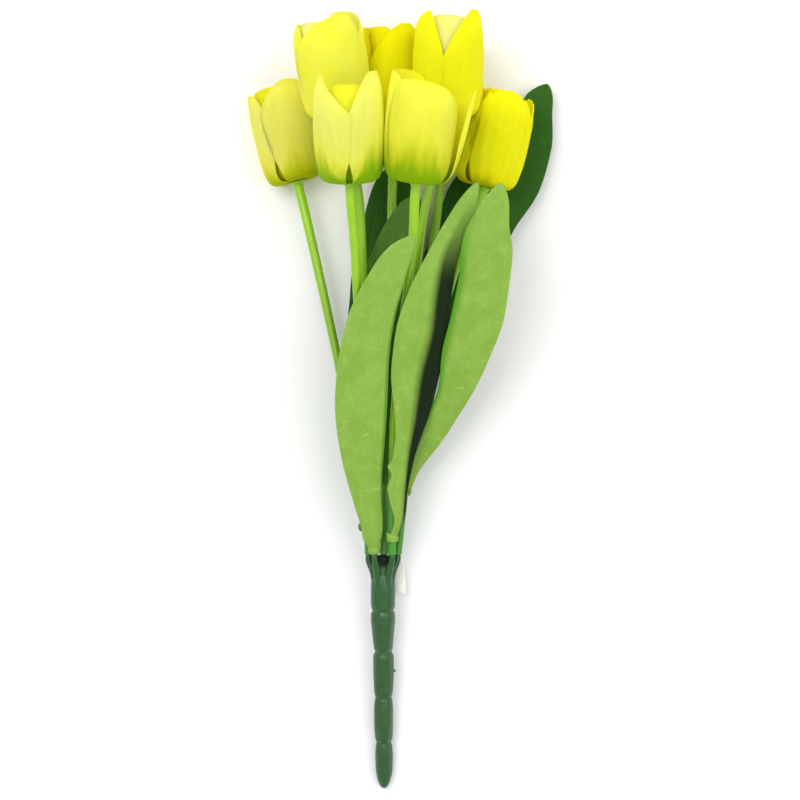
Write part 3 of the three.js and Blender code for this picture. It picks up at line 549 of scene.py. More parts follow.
def stem_shells(name):
    """Rod with its blind bore, flared flange and pin."""
    run = RUNS[name]
    seed = 40 + list(STEMS).index(name)
    bore = clear_of(SPIGOT_RADIUS)
    flange_top = run.length - GAP
    shaft_end = flange_top - FLANGE_HEIGHT
    profile = [[BORE_DEPTH, 0], [BORE_DEPTH, bore], [GAP, bore], [GAP, STEM_FOOT_RADIUS - FOOT_CHAMFER],
               [GAP + EDGE_BREAK, STEM_FOOT_RADIUS]]
    for distance in np.linspace(GAP + 1, shaft_end, STEM_RINGS):
        profile.append([distance, stem_radius(distance, run.length)])
    top_radius = stem_radius(shaft_end, run.length)
    for share in FLARE_SHARES:
        flare = top_radius + (FLANGE_RADIUS - top_radius) * share ** FLARE_POWER
        profile.append([shaft_end + FLANGE_HEIGHT * share, flare])
    lip_depth, lip_width = FLANGE_LIP
    pin_top = run.length + PIN_LENGTH
    profile += [[flange_top - lip_depth, FLANGE_RADIUS - lip_width], [flange_top, FLANGE_RADIUS - EDGE_BREAK],
                [flange_top, PIN_RADIUS], [pin_top, PIN_RADIUS], [pin_top, 0]]

    def uneven(distance, angle):
        share = ramp(distance, *SWAY_START) * (1 - ramp(distance, shaft_end - SWAY_END, shaft_end))
        return float(share) * STEM_SWAY * math.sin(2 * angle + seed + distance / SWAY_PITCH)

    shells = [turned(run, profile, STEM_SIDES, unevenness=uneven)]
    if name == STEM_WITH_KNOB:
        point, direction = run.at(KNOB_AT)
        right, _ = cross_frame(direction)
        outward = stem_radius(KNOB_AT, run.length) + KNOB_OUT
        knob = ball(point - right * outward, KNOB_RADIUS, KNOB_STRETCH)
        knob["topside"][:] = 0
        shells.append(knob)
    return shells


def handle_shells():
    """Handle in its moulded segments, a stub and spigot for each stem, and its small marks."""
    core = Run([HANDLE_TIP, CROWN_TOP])
    profile = []
    for segment in HANDLE_SEGMENTS:
        rows = [[distance, radius, 0] for distance, radius in segment]
        fine = between(rows, np.linspace(0, 1, SEGMENT_STEPS))[:, :2]
        fine[:, 1] = np.maximum(fine[:, 1], 0)
        profile += [list(row) for row in (fine if not profile else fine[1:])]
    profile[0][1] = profile[-1][1] = 0

    def facets(distance, angle):
        flat = FLAT_DEPTH * math.cos(4 * angle + 0.6) + SWAY_DEPTH * math.sin(3 * angle + distance / 9)
        seam = SEAM_HEIGHT * sum(hump(angle, SEAM_TURN + side, SEAM_WIDTH) for side in (0, math.pi))
        return (flat + seam) * float(ramp(distance, *MARKS_START)) * float(1 - ramp(distance, *MARKS_END))

    shells = [turned(core, profile, HANDLE_SIDES, unevenness=facets)]
    length = core.length
    for name, stem in STEMS.items():
        foot, direction = RUNS[name].at(0.0)
        root, _ = core.at(length - STUB_ROOT_DEPTH)
        out = foot - CROWN_TOP
        out[1] = 0
        ring_point = CROWN_TOP + out * STUB_RING_SHARE
        stub = Run([root + out * STUB_ROOT_SHARE, ring_point, foot - direction * STUB_STRAIGHT, foot])
        steps = np.linspace(0, stub.length - EDGE_BREAK, STUB_RINGS)
        swells = STUB_RADIUS + (STUB_ROOT_RADIUS - STUB_RADIUS) * (1 - np.clip(
            (steps - STUB_ROOT_DEPTH) / (stub.length - STUB_ROOT_DEPTH), 0, 1))
        rod = [[0, 0]] + [[step, swell] for step, swell in zip(steps, swells)] + [
            [stub.length, STUB_RADIUS - EDGE_BREAK], [stub.length, SPIGOT_RADIUS],
            [stub.length + SPIGOT_LENGTH, SPIGOT_RADIUS], [stub.length + SPIGOT_LENGTH, 0]]
        shells.append(turned(stub, rod, STUB_SIDES))
        if name in STUBS_WITH_NUB:
            shells.append(ball(ring_point + unit(out) * STUB_RADIUS, STUB_NUB_RADIUS))
    flash, direction = core.at(FLASH_AT)
    right, _ = cross_frame(direction)
    shells.append(ball(flash + right * FLASH_OUT, FLASH_RADIUS, FLASH_STRETCH))
    shells.append(turned(core, [[length + past, radius] for past, radius in CROWN_FILLER], STUB_SIDES))
    return shells


# How each bloom's petals are worked: depth of the soft waves, pleats and centre crease, how the
# tip curls out, how the outer side edge hugs the next petal, and how ragged the top edge is.
PETAL_WORK = {"waves": 0.3, "pleats": 0.05, "crease": 0.15, "curl": 0.2, "hug": 0.5, "ragged": 0.0}
PETAL_CHANGES = {
    "right": {"pleats": 0.28, "ragged": 0.011, "waves": 0.5},
    "left": {"waves": 0.25, "curl": 0.3, "crease": 0.3, "hug": 0.9},
    "front_left": {"crease": 0.0},
    "upper_middle": {"waves": 0.5, "crease": 0.4},
    "upper_left": {"curl": -1.8},
}
# Tears in a ragged top edge: place across the petal, width and depth.
TEARS = [[-0.7, 0.04, 2.2], [-0.05, 0.03, 1.4], [0.3, 0.03, 1.2], [0.62, 0.025, 3.2]]
# Lean and width of a petal whose row is short.
USUAL_LEAN_AND_WIDTH = [0, 1]
# Where a petal's side edges and its tip begin, how far its side edges are kept from the waves, and
# the sway and width of its centre crease.
SIDE_EDGE = (0.7, 1)
TIP = (0.9, 1)
EDGE_HOLD = 0.7
CREASE_SWAY = 0.06
CREASE_WIDTH = 0.05


def petal_shells(name, layer):
    """Three petals of one layer and the disc that joins them."""
    stem = STEMS[name]
    work = {**PETAL_WORK, **PETAL_CHANGES.get(name, {})}
    base, axis, height, front, right = bloom_frame(stem)
    outer = layer == "outer"
    form = PETAL_FORMS[layer]
    reach = height if outer else height * INNER_HEIGHT_SHARE
    rows = [[radius, rise, 0, half] for (radius, rise), half in zip(form["profile"], form["half_angles"])]
    widen = stem["radius"] / MODEL_RADIUS
    stretch = reach / MODEL_HEIGHT
    disc_height = form["profile"][0][1]
    lap = stem.get("lap", 1)

    def petal(turn, row, seed):
        row = [*row, *USUAL_LEAN_AND_WIDTH[len(row) - 5:]]
        tall, apex, left_bluntness, right_bluntness, drop, lean, width = row

        def at(u, v):
            edge = np.abs(u)
            fall = (np.clip((apex - u) / (1 + apex), 0, 1) ** left_bluntness
                    + np.clip((u - apex) / (1 - apex), 0, 1) ** right_bluntness)
            ragged = work["ragged"] * (ripple(u, np.zeros_like(v), seed + 7, (5, 22), (1, 1), 9)
                                       - sum(depth * hump(u, place, wide) for place, wide, depth in TEARS))
            t = v * (tall - drop * fall + ragged * ramp(v, 0.6, 1))
            radius, rise, _, half_angle = np.moveaxis(between(rows, t), -1, 0)
            wall = ramp(t, *WALL_SPAN)
            angle = np.radians(turn + u * half_angle * (1 + (width - 1) * wall))
            lean_share = 1 - ((u - apex) / (1 + abs(apex))) ** 2
            outward = radius * (1 + (widen - 1) * wall) + u * lap * PINWHEEL * wall
            outward += lean * lean_share * t * t
            free = (1 - EDGE_HOLD * ramp(edge, *SIDE_EDGE)) * wall
            outward += work["waves"] * ripple(u, v, seed, (1, 3), (0.6, 2.4)) * free
            outward += work["pleats"] * ripple(u, v, seed + 3, (14, 30), (0.1, 0.5), 7) * free
            crease = hump(u, CREASE_SWAY * math.sin(seed), CREASE_WIDTH)
            outward -= work["crease"] * crease * wall * (1 - ramp(v, 0.7, 1))
            outward -= work["hug"] * ramp(u * lap, *SIDE_EDGE) * wall
            outward += work["curl"] * ramp(v, *TIP) * ramp(u, -0.6, 0.4)
            upward = disc_height + (rise - disc_height) * stretch
            return (base + axis * upward[..., None]
                    + front * (outward * np.cos(angle))[..., None]
                    + right * (outward * np.sin(angle))[..., None])
        return at

    line = Run([base, base + axis])
    low, high = disc_height - DISC_THICKNESS / 2, disc_height + DISC_THICKNESS / 2
    hole = clear_of(PIN_RADIUS)
    disc = [[low, hole], [low, DISC_RADIUS], [high, DISC_RADIUS], [high, hole]]
    shells = [turned(line, disc, CUP_SIDES, ring=True)]
    spacing = 360 / PETALS
    for index in range(PETALS):
        turn = stem["roll"] + spacing * (index if outer else index + 0.5)
        seed = 100 + 10 * list(STEMS).index(name) + index + (0 if outer else 5)
        shells.append(blade(petal(turn, stem[layer][index], seed), PETAL_CELLS, CLOTH))
    return shells


def cap_shells(name):
    """Cap on the pin, drawn up into a pistil with a three-lobed head."""
    base, axis, *_ = bloom_frame(STEMS[name])
    line = Run([base, base + axis])
    bore = clear_of(PIN_RADIUS)
    roof = CAP_FOOT + CAP_BORE_DEPTH
    lobes = lambda distance, angle: LOBE_DEPTH * math.cos(3 * angle) * float(ramp(distance, *LOBE_START))
    profile = [[roof, 0], [roof, bore], [CAP_FOOT, bore], *CAP_PROFILE]
    return [turned(line, profile, CUP_SIDES, unevenness=lobes)]


def whole_row(row):
    """A blade's row with both widths, its roll and both bends, also where it gave only five numbers."""
    if len(row) > 5:
        return row
    *place, width, bend = row
    return [*place, width, width, 0, bend, bend]


def blade_surface(rows, tip_length, relief, fold=1):
    """Middle surface through a blade's rows, with its relief on top."""
    rows = [whole_row(row) for row in rows]

    def at(u, v):
        x, y, z, left_width, right_width, roll, left_bend, right_bend = np.moveaxis(between(rows, v), -1, 0)
        ahead = between(rows, v + SLOPE_STEP)[..., :3]
        here = np.stack([x, y, z], -1)
        right, above = cross_frame(unit(ahead - here))
        turn = np.radians(roll)[..., None]
        side = right * np.cos(turn) + above * np.sin(turn)
        lift = above * np.cos(turn) - right * np.sin(turn)
        from_tip = np.clip((1 - v) / tip_length, 0, 1) if tip_length > 0 else np.ones_like(v)
        rounding = np.maximum(np.sqrt(np.maximum(1 - (1 - from_tip) ** 2, 0)), TIP_WIDTH_SHARE)
        edge = np.abs(u)
        bent_share = np.minimum(edge / (1 + (fold - 1) * ramp(v, 0, FOLD_BEGIN)), 1)
        bend = np.radians(np.where(u < 0, left_bend, right_bend)) * bent_share
        reach = np.where(u < 0, left_width, right_width) * rounding * edge
        turned_bend = np.where(np.abs(bend) < FLAT_BEND, FLAT_BEND, bend)
        shift, rise = relief(u, v)
        sideways = reach * np.sin(turned_bend) / turned_bend + shift
        upward = reach * (1 - np.cos(turned_bend)) / turned_bend + rise
        return here + side * (np.sign(u) * sideways)[..., None] + lift * upward[..., None]
    return at


# How each leaf is worked: depth of its soft waves, of its pressed veins and of its middle fold, how
# far its edges wander, and the depth of the puckers along its left side.
LEAF_WORK = {"waves": 0.4, "veins": 0.02, "rib": 0.2, "edge": 0.35, "puckers": 0.0}
LEAF_CHANGES = {
    "back_right": {"waves": 0.5, "edge": 1.2},
    "front_left": {"rib": 0.1},
    "front_middle": {"rib": 0.0, "puckers": 0.7},
    "front_right": {"edge": 0.6},
}
# Short shapes in a blade's edges: -1 for the left edge or 1 for the right, place and width along
# the blade, and how far the edge goes out and up.
EDGE_SHAPES = {
    "front_middle": [[-1, 0.263, 0.012, 2.3, 0.5], [-1, 0.24, 0.02, -1.1, 0.6], [-1, 0.335, 0.05, -1, 0.2],
                     [-1, 0.2, 0.02, 0.6, 0.3], [1, 0.457, 0.075, 1.7, 0]],
    "front_left": [[-1, 0.085, 0.05, 0.8, 1.5]],
}
VEIN_PITCH = 9
FOLD_WIDTH = 0.045
PUCKER_PLACE = (0.24, 0.09)
# A blade is measured from 0 to 1 along it, and its collar in millimetres along the stem.
BLADE_END = 1.001


def leaf_relief(name):
    """Waves, pressed veins and a middle fold over a leaf's blade."""
    work = {**LEAF_WORK, **LEAF_CHANGES.get(name, {})}
    seed = 300 + 10 * list(LEAVES).index(name)

    def relief(u, v):
        grown = ramp(v, 0.03, 0.16)
        veins = np.cos(u * VEIN_PITCH * math.pi) * (1 - ramp(np.abs(u), 0.8, 1))
        rise = grown * (work["waves"] * ripple(u, v, seed, (0.5, 2.5), (2, 7))
                        + work["veins"] * veins
                        - work["rib"] * hump(u, 0, FOLD_WIDTH))
        shift = grown * work["edge"] * np.abs(u) * ripple(np.sign(u), v, seed + 4, (0.5, 1.5), (3, 11))
        puckers = work["puckers"] * ripple(u, v, seed + 9, (3, 7), (14, 30)) * hump(v, *PUCKER_PLACE)
        rise = rise + puckers * ramp(-u, 0, 0.5)
        for edge, place, wide, out, up in EDGE_SHAPES.get(name, []):
            shift = shift + out * hump(v, place, wide) * ramp(edge * u, 0.3, 1)
            rise = rise + up * hump(v, place, wide) * ramp(edge * u, 0.5, 1)
        return shift, rise
    return relief


def collar_shell(stem_name, start, end, wall):
    """Ring round a stem with a rounded lip."""
    run = RUNS[stem_name]
    inner = clear_of(stem_radius(end, run.length))
    outer = inner + wall
    profile = [[start, inner], [start, outer - EDGE_BREAK], [start + EDGE_BREAK, outer],
               [end - EDGE_BREAK, outer], [end, outer - EDGE_BREAK], [end, inner]]
    return turned(run, profile, COLLAR_SIDES, ring=True)


def leaf_shells(name):
    """Collar round the stem and the blade that grows out of it."""
    leaf = LEAVES[name]
    run = RUNS[leaf["stem"]]
    point, direction = run.at(leaf["at"])
    right, above = cross_frame(direction)
    offset = clear_of(stem_radius(leaf["at"], run.length)) + COLLAR_WALL / 2
    roll = math.radians(leaf["foot_roll"])
    foot = point + leaf["side"] * offset * (above * math.cos(roll) - right * math.sin(roll))
    bend = -leaf["side"] * FOOT_BEND
    rows = [[*foot, FOOT_HALF_WIDTH, FOOT_HALF_WIDTH, leaf["foot_roll"], bend, bend], *leaf["rows"]]
    surface = blade_surface(rows, TIP_LENGTH, leaf_relief(name), leaf.get("fold", 1))
    shells = [collar_shell(leaf["stem"], leaf["at"] - COLLAR_BELOW, leaf["at"] + COLLAR_ABOVE, COLLAR_WALL),
              blade(surface, LEAF_CELLS, BLADE_THICKNESS)]
    if name == LEAF_WITH_NUB:
        rightward, upward = COLLAR_NUB_SIDE
        outward = (right * rightward + above * upward) * (offset + COLLAR_NUB_RADIUS / 2)
        shells.append(ball(point + outward, COLLAR_NUB_RADIUS, COLLAR_NUB_STRETCH))
    return shells


def tag_shells():
    """Blank strip with a loop round the stem's foot."""
    def relief(u, v):
        return np.zeros_like(v * u), TAG_WAVES * ripple(u, v, 9, (0.3, 1), (1, 2)) * ramp(v, 0.1, 0.4)

    return [collar_shell("right", TAG_AT - TAG_HALF_WRAP, TAG_AT + TAG_HALF_WRAP, TAG_WALL),
            blade(blade_surface(TAG_ROWS, 0, relief), TAG_CELLS, TAG_WALL)]


# Finishes

# Inputs of an effect that are places, on the cloth or in the piece. The others are numbers.
PLACES = ("cloth", "place")


def as_light(*colours):
    """Light values of colours given as on a screen, from 0 to 255."""
    lift = lambda c: c / 12.92 if c <= 0.04045 else ((c + 0.055) / 1.055) ** 2.4
    return [(*(lift(c / 255) for c in colour), 1.0) for colour in colours]


def wire(tree, kind, inputs=None, **settings):
    """New shader node. Each input, by name or number, gets a value or the output that feeds it."""
    made = tree.nodes.new(kind)
    for setting, value in settings.items():
        setattr(made, setting, value)
    for name, value in (inputs or {}).items():
        socket = made.inputs[name]
        if isinstance(value, bpy.types.NodeSocket):
            tree.links.new(value, socket)
        else:
            socket.default_value = value
    return made


def maths(tree, operation, *values):
    """Result of one operation on values."""
    return wire(tree, "ShaderNodeMath", dict(enumerate(values)), operation=operation).outputs[0]


def times(tree, first, second):
    """Product of two values."""
    return maths(tree, "MULTIPLY", first, second)


def plus_times(tree, first, second, third):
    """Product of the first two values, plus the third."""
    return maths(tree, "MULTIPLY_ADD", first, second, third)


def mixed(tree, factor, first, second):
    """Colour between two colours."""
    return wire(tree, "ShaderNodeMix", {0: factor, 6: first, 7: second}, data_type="RGBA").outputs[2]


def spread(tree, value, low, high, to_low=0.0, to_high=1.0):
    """Smooth rise of a value between two limits."""
    made = wire(tree, "ShaderNodeMapRange", {0: value, 1: low, 2: high, 3: to_low, 4: to_high},
                interpolation_type="SMOOTHSTEP")
    return made.outputs[0]


def split(tree, place):
    """The three numbers of a place."""
    return wire(tree, "ShaderNodeSeparateXYZ", {0: place}).outputs


def joined(tree, first, second):
    """A place from its first two numbers."""
    return wire(tree, "ShaderNodeCombineXYZ", {0: first, 1: second}).outputs[0]


def noise(tree, place, scale, **more):
    """Cloudy unevenness round a place."""
    return wire(tree, "ShaderNodeTexNoise", {"Vector": place, "Scale": scale, **more}).outputs[0]


def effect(name, inputs, outputs=("mask",)):
    """New node group: its tree, its inputs to read and its outputs to fill."""
    group = bpy.data.node_groups.new(name, "ShaderNodeTree")
    for label in inputs:
        kind = "NodeSocketVector" if label in PLACES else "NodeSocketFloat"
        group.interface.new_socket(label, in_out="INPUT", socket_type=kind)
    for label in outputs:
        group.interface.new_socket(label, in_out="OUTPUT", socket_type="NodeSocketFloat")
    return group, group.nodes.new("NodeGroupInput").outputs, group.nodes.new("NodeGroupOutput").inputs


def use(tree, group, **inputs):
    """Places an effect in a material with its own values."""
    named = {name.replace("_", " "): value for name, value in inputs.items()}
    return wire(tree, "ShaderNodeGroup", named, node_tree=group)


def mask_of(tree, group, **inputs):
    """First value that an effect gives in a material."""
    return use(tree, group, **inputs).outputs[0]


def weave_effect():
    """Plain weave of over and under threads, in millimetres of cloth."""
    group, given, gives = effect("thread weave", ["cloth", "threads per mm"], ["height"])
    turns = times(group, given["threads per mm"], math.pi)
    across, along, _ = split(group, given["cloth"])
    warp = maths(group, "SINE", times(group, across, turns))
    weft = maths(group, "SINE", times(group, along, turns))
    group.links.new(plus_times(group, times(group, warp, weft), 0.5, 0.5), gives["height"])
    return group


def streaks_effect():
    """Fine uneven streaks that run along a blade."""
    group, given, gives = effect("streaks along", ["cloth", "streaks per mm", "stretch"])
    across, along, _ = split(group, given["cloth"])
    place = joined(group, across, maths(group, "DIVIDE", along, given["stretch"]))
    lines = noise(group, place, given["streaks per mm"], Detail=3.0, Roughness=0.6)
    group.links.new(spread(group, lines, 0.3, 0.7), gives["mask"])
    return group


def blotches_effect():
    """Soft cloudy patches, as where dye has taken unevenly."""
    group, given, gives = effect("soft blotches", ["cloth", "size in mm"])
    scale = maths(group, "DIVIDE", 1.0, given["size in mm"])
    clouds = noise(group, given["cloth"], scale, Detail=2.5, Roughness=0.55, Distortion=0.4)
    group.links.new(spread(group, clouds, 0.32, 0.68), gives["mask"])
    return group


def airbrush_effect():
    """Sprayed colour that fades away from the foot of a blade, with a wandering, streaky edge."""
    group, given, gives = effect("airbrushed foot", ["cloth", "along", "reach", "fade"])
    across, along, _ = split(group, given["cloth"])
    place = joined(group, times(group, across, 0.16), times(group, along, 0.03))
    drift = noise(group, place, 1.0, Detail=3.0)
    wander = times(group, maths(group, "SUBTRACT", drift, 0.5), 0.3)
    end = maths(group, "ADD", given["reach"], wander)
    start = maths(group, "SUBTRACT", end, given["fade"])
    group.links.new(spread(group, given["along"], start, end, 1.0, 0.0), gives["mask"])
    return group


def rim_effect():
    """Band along the free edges of a blade."""
    group, given, gives = effect("edge band", ["across", "along", "width"])
    inner = maths(group, "SUBTRACT", 1.0, given["width"])
    side = spread(group, maths(group, "ABSOLUTE", given["across"]), inner, 1.0)
    top = spread(group, given["along"], inner, 1.0)
    group.links.new(maths(group, "MAXIMUM", side, top), gives["mask"])
    return group


def grain_effect():
    """Fine moulding grain and faint flow marks of plastic."""
    group, given, gives = effect("moulding grain", ["place", "grains per m"], ["height", "flow"])
    slow = maths(group, "DIVIDE", given["grains per m"], 22.0)
    broad = noise(group, given["place"], slow, Detail=3.0, Distortion=0.8)
    group.links.new(noise(group, given["place"], given["grains per m"], Detail=2.0), gives["height"])
    group.links.new(spread(group, broad, 0.3, 0.7), gives["flow"])
    return group


def crease_effect():
    """Thin wandering lines, as in cloth that was crushed and smoothed."""
    group, given, gives = effect("crease lines", ["cloth", "size in mm", "width"])
    scale = maths(group, "DIVIDE", 1.0, given["size in mm"])
    drift = noise(group, given["cloth"], scale, Detail=1.5, Roughness=0.5, Distortion=1.2)
    away = maths(group, "ABSOLUTE", maths(group, "SUBTRACT", drift, 0.5))
    group.links.new(spread(group, away, 0.0, given["width"], 1.0, 0.0), gives["mask"])
    return group


WEAVE = weave_effect()
CREASES = crease_effect()
STREAKS = streaks_effect()
BLOTCHES = blotches_effect()
AIRBRUSH = airbrush_effect()
RIM = rim_effect()
GRAIN = grain_effect()


def new_finish(name, roughness, **sockets):
    """Material with a plain shader: its tree, the shader, and the mesh's own measures."""
    material = bpy.data.materials.new(name)
    material.use_nodes = True
    tree = material.node_tree
    shader = tree.nodes["Principled BSDF"]
    shader.inputs["Roughness"].default_value = roughness
    for label, value in sockets.items():
        shader.inputs[label.replace("_", " ")].default_value = value
    reads = {}
    for label in ("across", "along", "topside", "cloth"):
        source = wire(tree, "ShaderNodeAttribute", attribute_name=label)
        reads[label] = source.outputs["Vector"] if label == "cloth" else source.outputs["Fac"]
    return material, tree, shader, reads


def paint(tree, shader, colour, roughness):
    """Feeds the colour and the roughness of a finish."""
    tree.links.new(colour, shader.inputs["Base Color"])
    tree.links.new(roughness, shader.inputs["Roughness"])


def set_bump(tree, shader, height, distance, strength):
    """Feeds the fine relief of a finish."""
    bump = wire(tree, "ShaderNodeBump", {"Height": height, "Distance": distance, "Strength": strength})
    tree.links.new(bump.outputs[0], shader.inputs["Normal"])


def petal_finish(name, body, deep, foot, inside, reach, fade, streak):
    """Petal cloth: body colour with deeper streaks, a sprayed foot, painted shade low in the cup and an
    inside of its own.
    """
    material, tree, shader, reads = new_finish(
        name, 0.75, Subsurface_Weight=0.6, Subsurface_Scale=0.004, Subsurface_Radius=(1.0, 0.95, 0.12),
        Specular_IOR_Level=0.04)
    body, deep, foot, inside = as_light(body, deep, foot, inside)
    cloth, along = reads["cloth"], reads["along"]
    lines = mask_of(tree, STREAKS, cloth=cloth, streaks_per_mm=0.26, stretch=12.0)
    clouds = mask_of(tree, BLOTCHES, cloth=cloth, size_in_mm=18.0)
    creases = mask_of(tree, CREASES, cloth=cloth, size_in_mm=22.0, width=0.01)
    # Painted shade: deeper yellow that reaches further up from the foot than the spray, where the cup is
    # deep.
    painted_cup_shade = mask_of(tree, AIRBRUSH, cloth=cloth, along=along, reach=reach + 0.18, fade=fade + 0.14)
    sprayed = mask_of(tree, AIRBRUSH, cloth=cloth, along=along, reach=reach, fade=fade)
    edge = mask_of(tree, RIM, across=reads["across"], along=along, width=0.07)
    weave = mask_of(tree, WEAVE, cloth=cloth, threads_per_mm=3.4)
    side = mixed(tree, reads["topside"], inside, body)
    shaded = mixed(tree, times(tree, plus_times(tree, lines, 0.6, clouds), streak), side, deep)
    rimmed = mixed(tree, times(tree, edge, 0.3), shaded, deep)
    with_cup_shade = mixed(tree, times(tree, painted_cup_shade, 0.75), rimmed, deep)
    colour = mixed(tree, times(tree, sprayed, 0.9), with_cup_shade, foot)
    paint(tree, shader, colour, spread(tree, clouds, 0.0, 1.0, 0.66, 0.8))
    relief = plus_times(tree, lines, 0.6, times(tree, creases, -0.8))
    set_bump(tree, shader, plus_times(tree, weave, 0.35, relief), 0.00014, 0.45)
    return material


def leaf_finish(name, body, pale, deep, underside, painted_shade_side=None):
    """Coated leaf cloth with pressed veins, pale creases, blotches and, on some, painted shade on one side.

    painted_shade_side is the colour of that painted shade, and the places across where it starts and is full.
    """
    material, tree, shader, reads = new_finish(
        name, LEAF_ROUGHNESS, Specular_IOR_Level=0.15, Subsurface_Weight=0.06, Subsurface_Scale=0.001)
    body, pale, deep, underside = as_light(body, pale, deep, underside)
    cloth, across, along = reads["cloth"], reads["across"], reads["along"]
    veins = mask_of(tree, STREAKS, cloth=cloth, streaks_per_mm=0.9, stretch=40.0)
    clouds = mask_of(tree, BLOTCHES, cloth=cloth, size_in_mm=13.0)
    scuffs = mask_of(tree, BLOTCHES, cloth=cloth, size_in_mm=3.2)
    edge = mask_of(tree, RIM, across=across, along=along, width=0.05)
    creases = mask_of(tree, CREASES, cloth=cloth, size_in_mm=19.0, width=0.014)
    weave = mask_of(tree, WEAVE, cloth=cloth, threads_per_mm=2.6)
    lines = spread(tree, maths(tree, "COSINE", times(tree, across, VEIN_PITCH * math.pi)), -1.0, 1.0)
    patches = times(tree, clouds, plus_times(tree, scuffs, 0.5, 0.5))
    tinted = mixed(tree, times(tree, patches, 0.5), body, pale)
    veined = mixed(tree, times(tree, plus_times(tree, lines, 0.3, veins), 0.12), tinted, deep)
    crushed = mixed(tree, times(tree, times(tree, creases, scuffs), 0.75), veined, pale)
    top = mixed(tree, times(tree, edge, 0.3), crushed, pale)
    # Painted shade on the side turned away, fading out toward the tip.
    if painted_shade_side:
        shade, start, end = painted_shade_side
        on_blade = maths(tree, "LESS_THAN", along, BLADE_END)
        side = times(tree, spread(tree, across, start, end), on_blade)
        top = mixed(tree, times(tree, side, spread(tree, along, 0.97, 0.72)), top, *as_light(shade))
    rough = spread(tree, clouds, 0.0, 1.0, LEAF_ROUGHNESS - 0.05, LEAF_ROUGHNESS + 0.1)
    paint(tree, shader, mixed(tree, reads["topside"], underside, top), rough)
    relief = plus_times(tree, veins, 0.3, creases)
    set_bump(tree, shader, plus_times(tree, weave, 0.2, relief), 0.00018, 0.4)
    return material


def stem_finish(name, foot, body, top, scar):
    """Soft glossy stem plastic, greener toward its foot, with faint drawn lines and a duller knob."""
    material, tree, shader, reads = new_finish(
        name, 0.3, Specular_IOR_Level=0.5, Coat_Weight=0.15, Coat_Roughness=0.25, Subsurface_Weight=0.1,
        Subsurface_Scale=0.001)
    foot, body, top, scar = as_light(foot, body, top, scar)
    place = wire(tree, "ShaderNodeTexCoord").outputs["Object"]
    grain, flow = use(tree, GRAIN, place=place, grains_per_m=1800.0).outputs
    lines = mask_of(tree, STREAKS, cloth=reads["cloth"], streaks_per_mm=2.2, stretch=60.0)
    lower = mixed(tree, spread(tree, reads["along"], 4.0, 95.0), foot, body)
    upper = mixed(tree, spread(tree, reads["along"], 120.0, 230.0), lower, top)
    whole = mixed(tree, reads["topside"], scar, upper)
    colour = mixed(tree, times(tree, flow, 0.18), whole, foot)
    paint(tree, shader, colour, spread(tree, flow, 0.0, 1.0, 0.26, 0.4))
    height = maths(tree, "ADD", times(tree, lines, 0.6), times(tree, grain, 0.4))
    set_bump(tree, shader, height, 0.0001, 0.35)
    return material


def moulded_finish(name, body, pale, deep, roughness, coat=0.0, hollow=None):
    """Moulded plastic with grain, flow marks, scuffs on high spots and, where asked, painted shade in a
    hollow.

    hollow is the centre of a place that light hardly reaches, and the colour of the painted shade there.
    """
    material, tree, shader, _ = new_finish(name, roughness, Specular_IOR_Level=0.5, Coat_Weight=coat,
                                           Coat_Roughness=0.2)
    body, pale, deep = as_light(body, pale, deep)
    place = wire(tree, "ShaderNodeTexCoord").outputs["Object"]
    grain, flow = use(tree, GRAIN, place=place, grains_per_m=2600.0).outputs
    scuff = mask_of(tree, BLOTCHES, cloth=place, size_in_mm=0.004)
    scuffs_and_painted_shade = mixed(tree, times(tree, scuff, 0.2), mixed(tree, times(tree, flow, 0.35), body, deep), pale)
    rough = spread(tree, scuff, 0.0, 1.0, roughness - 0.06, roughness + 0.12)
    # Painted shade in the hollow between the stubs, where light hardly reaches; it is also made rough and
    # uncoated there.
    if hollow:
        centre, shade = hollow
        away = wire(tree, "ShaderNodeVectorMath", {0: place, 1: centre}, operation="DISTANCE")
        inside = spread(tree, away.outputs["Value"], HOLLOW_RADIUS * MM, HOLLOW_CORE * MM)
        scuffs_and_painted_shade = mixed(tree, inside, scuffs_and_painted_shade, *as_light(shade))
        rough = maths(tree, "MAXIMUM", rough, inside)
        tree.links.new(plus_times(tree, inside, -coat, coat), shader.inputs["Coat Weight"])
    paint(tree, shader, scuffs_and_painted_shade, rough)
    set_bump(tree, shader, plus_times(tree, grain, 0.2, flow), 0.00008, 0.25)
    return material


def tag_finish():
    """Blank milky strip."""
    material, tree, shader, reads = new_finish(
        "milky strip", 0.4, Specular_IOR_Level=0.45, Subsurface_Weight=0.3, Subsurface_Scale=0.002)
    clouds = mask_of(tree, BLOTCHES, cloth=reads["cloth"], size_in_mm=4.0)
    colour = mixed(tree, clouds, *as_light((250, 248, 242), (243, 240, 232)))
    paint(tree, shader, colour, spread(tree, clouds, 0.0, 1.0, 0.35, 0.5))
    set_bump(tree, shader, clouds, 0.0001, 0.3)
    return material


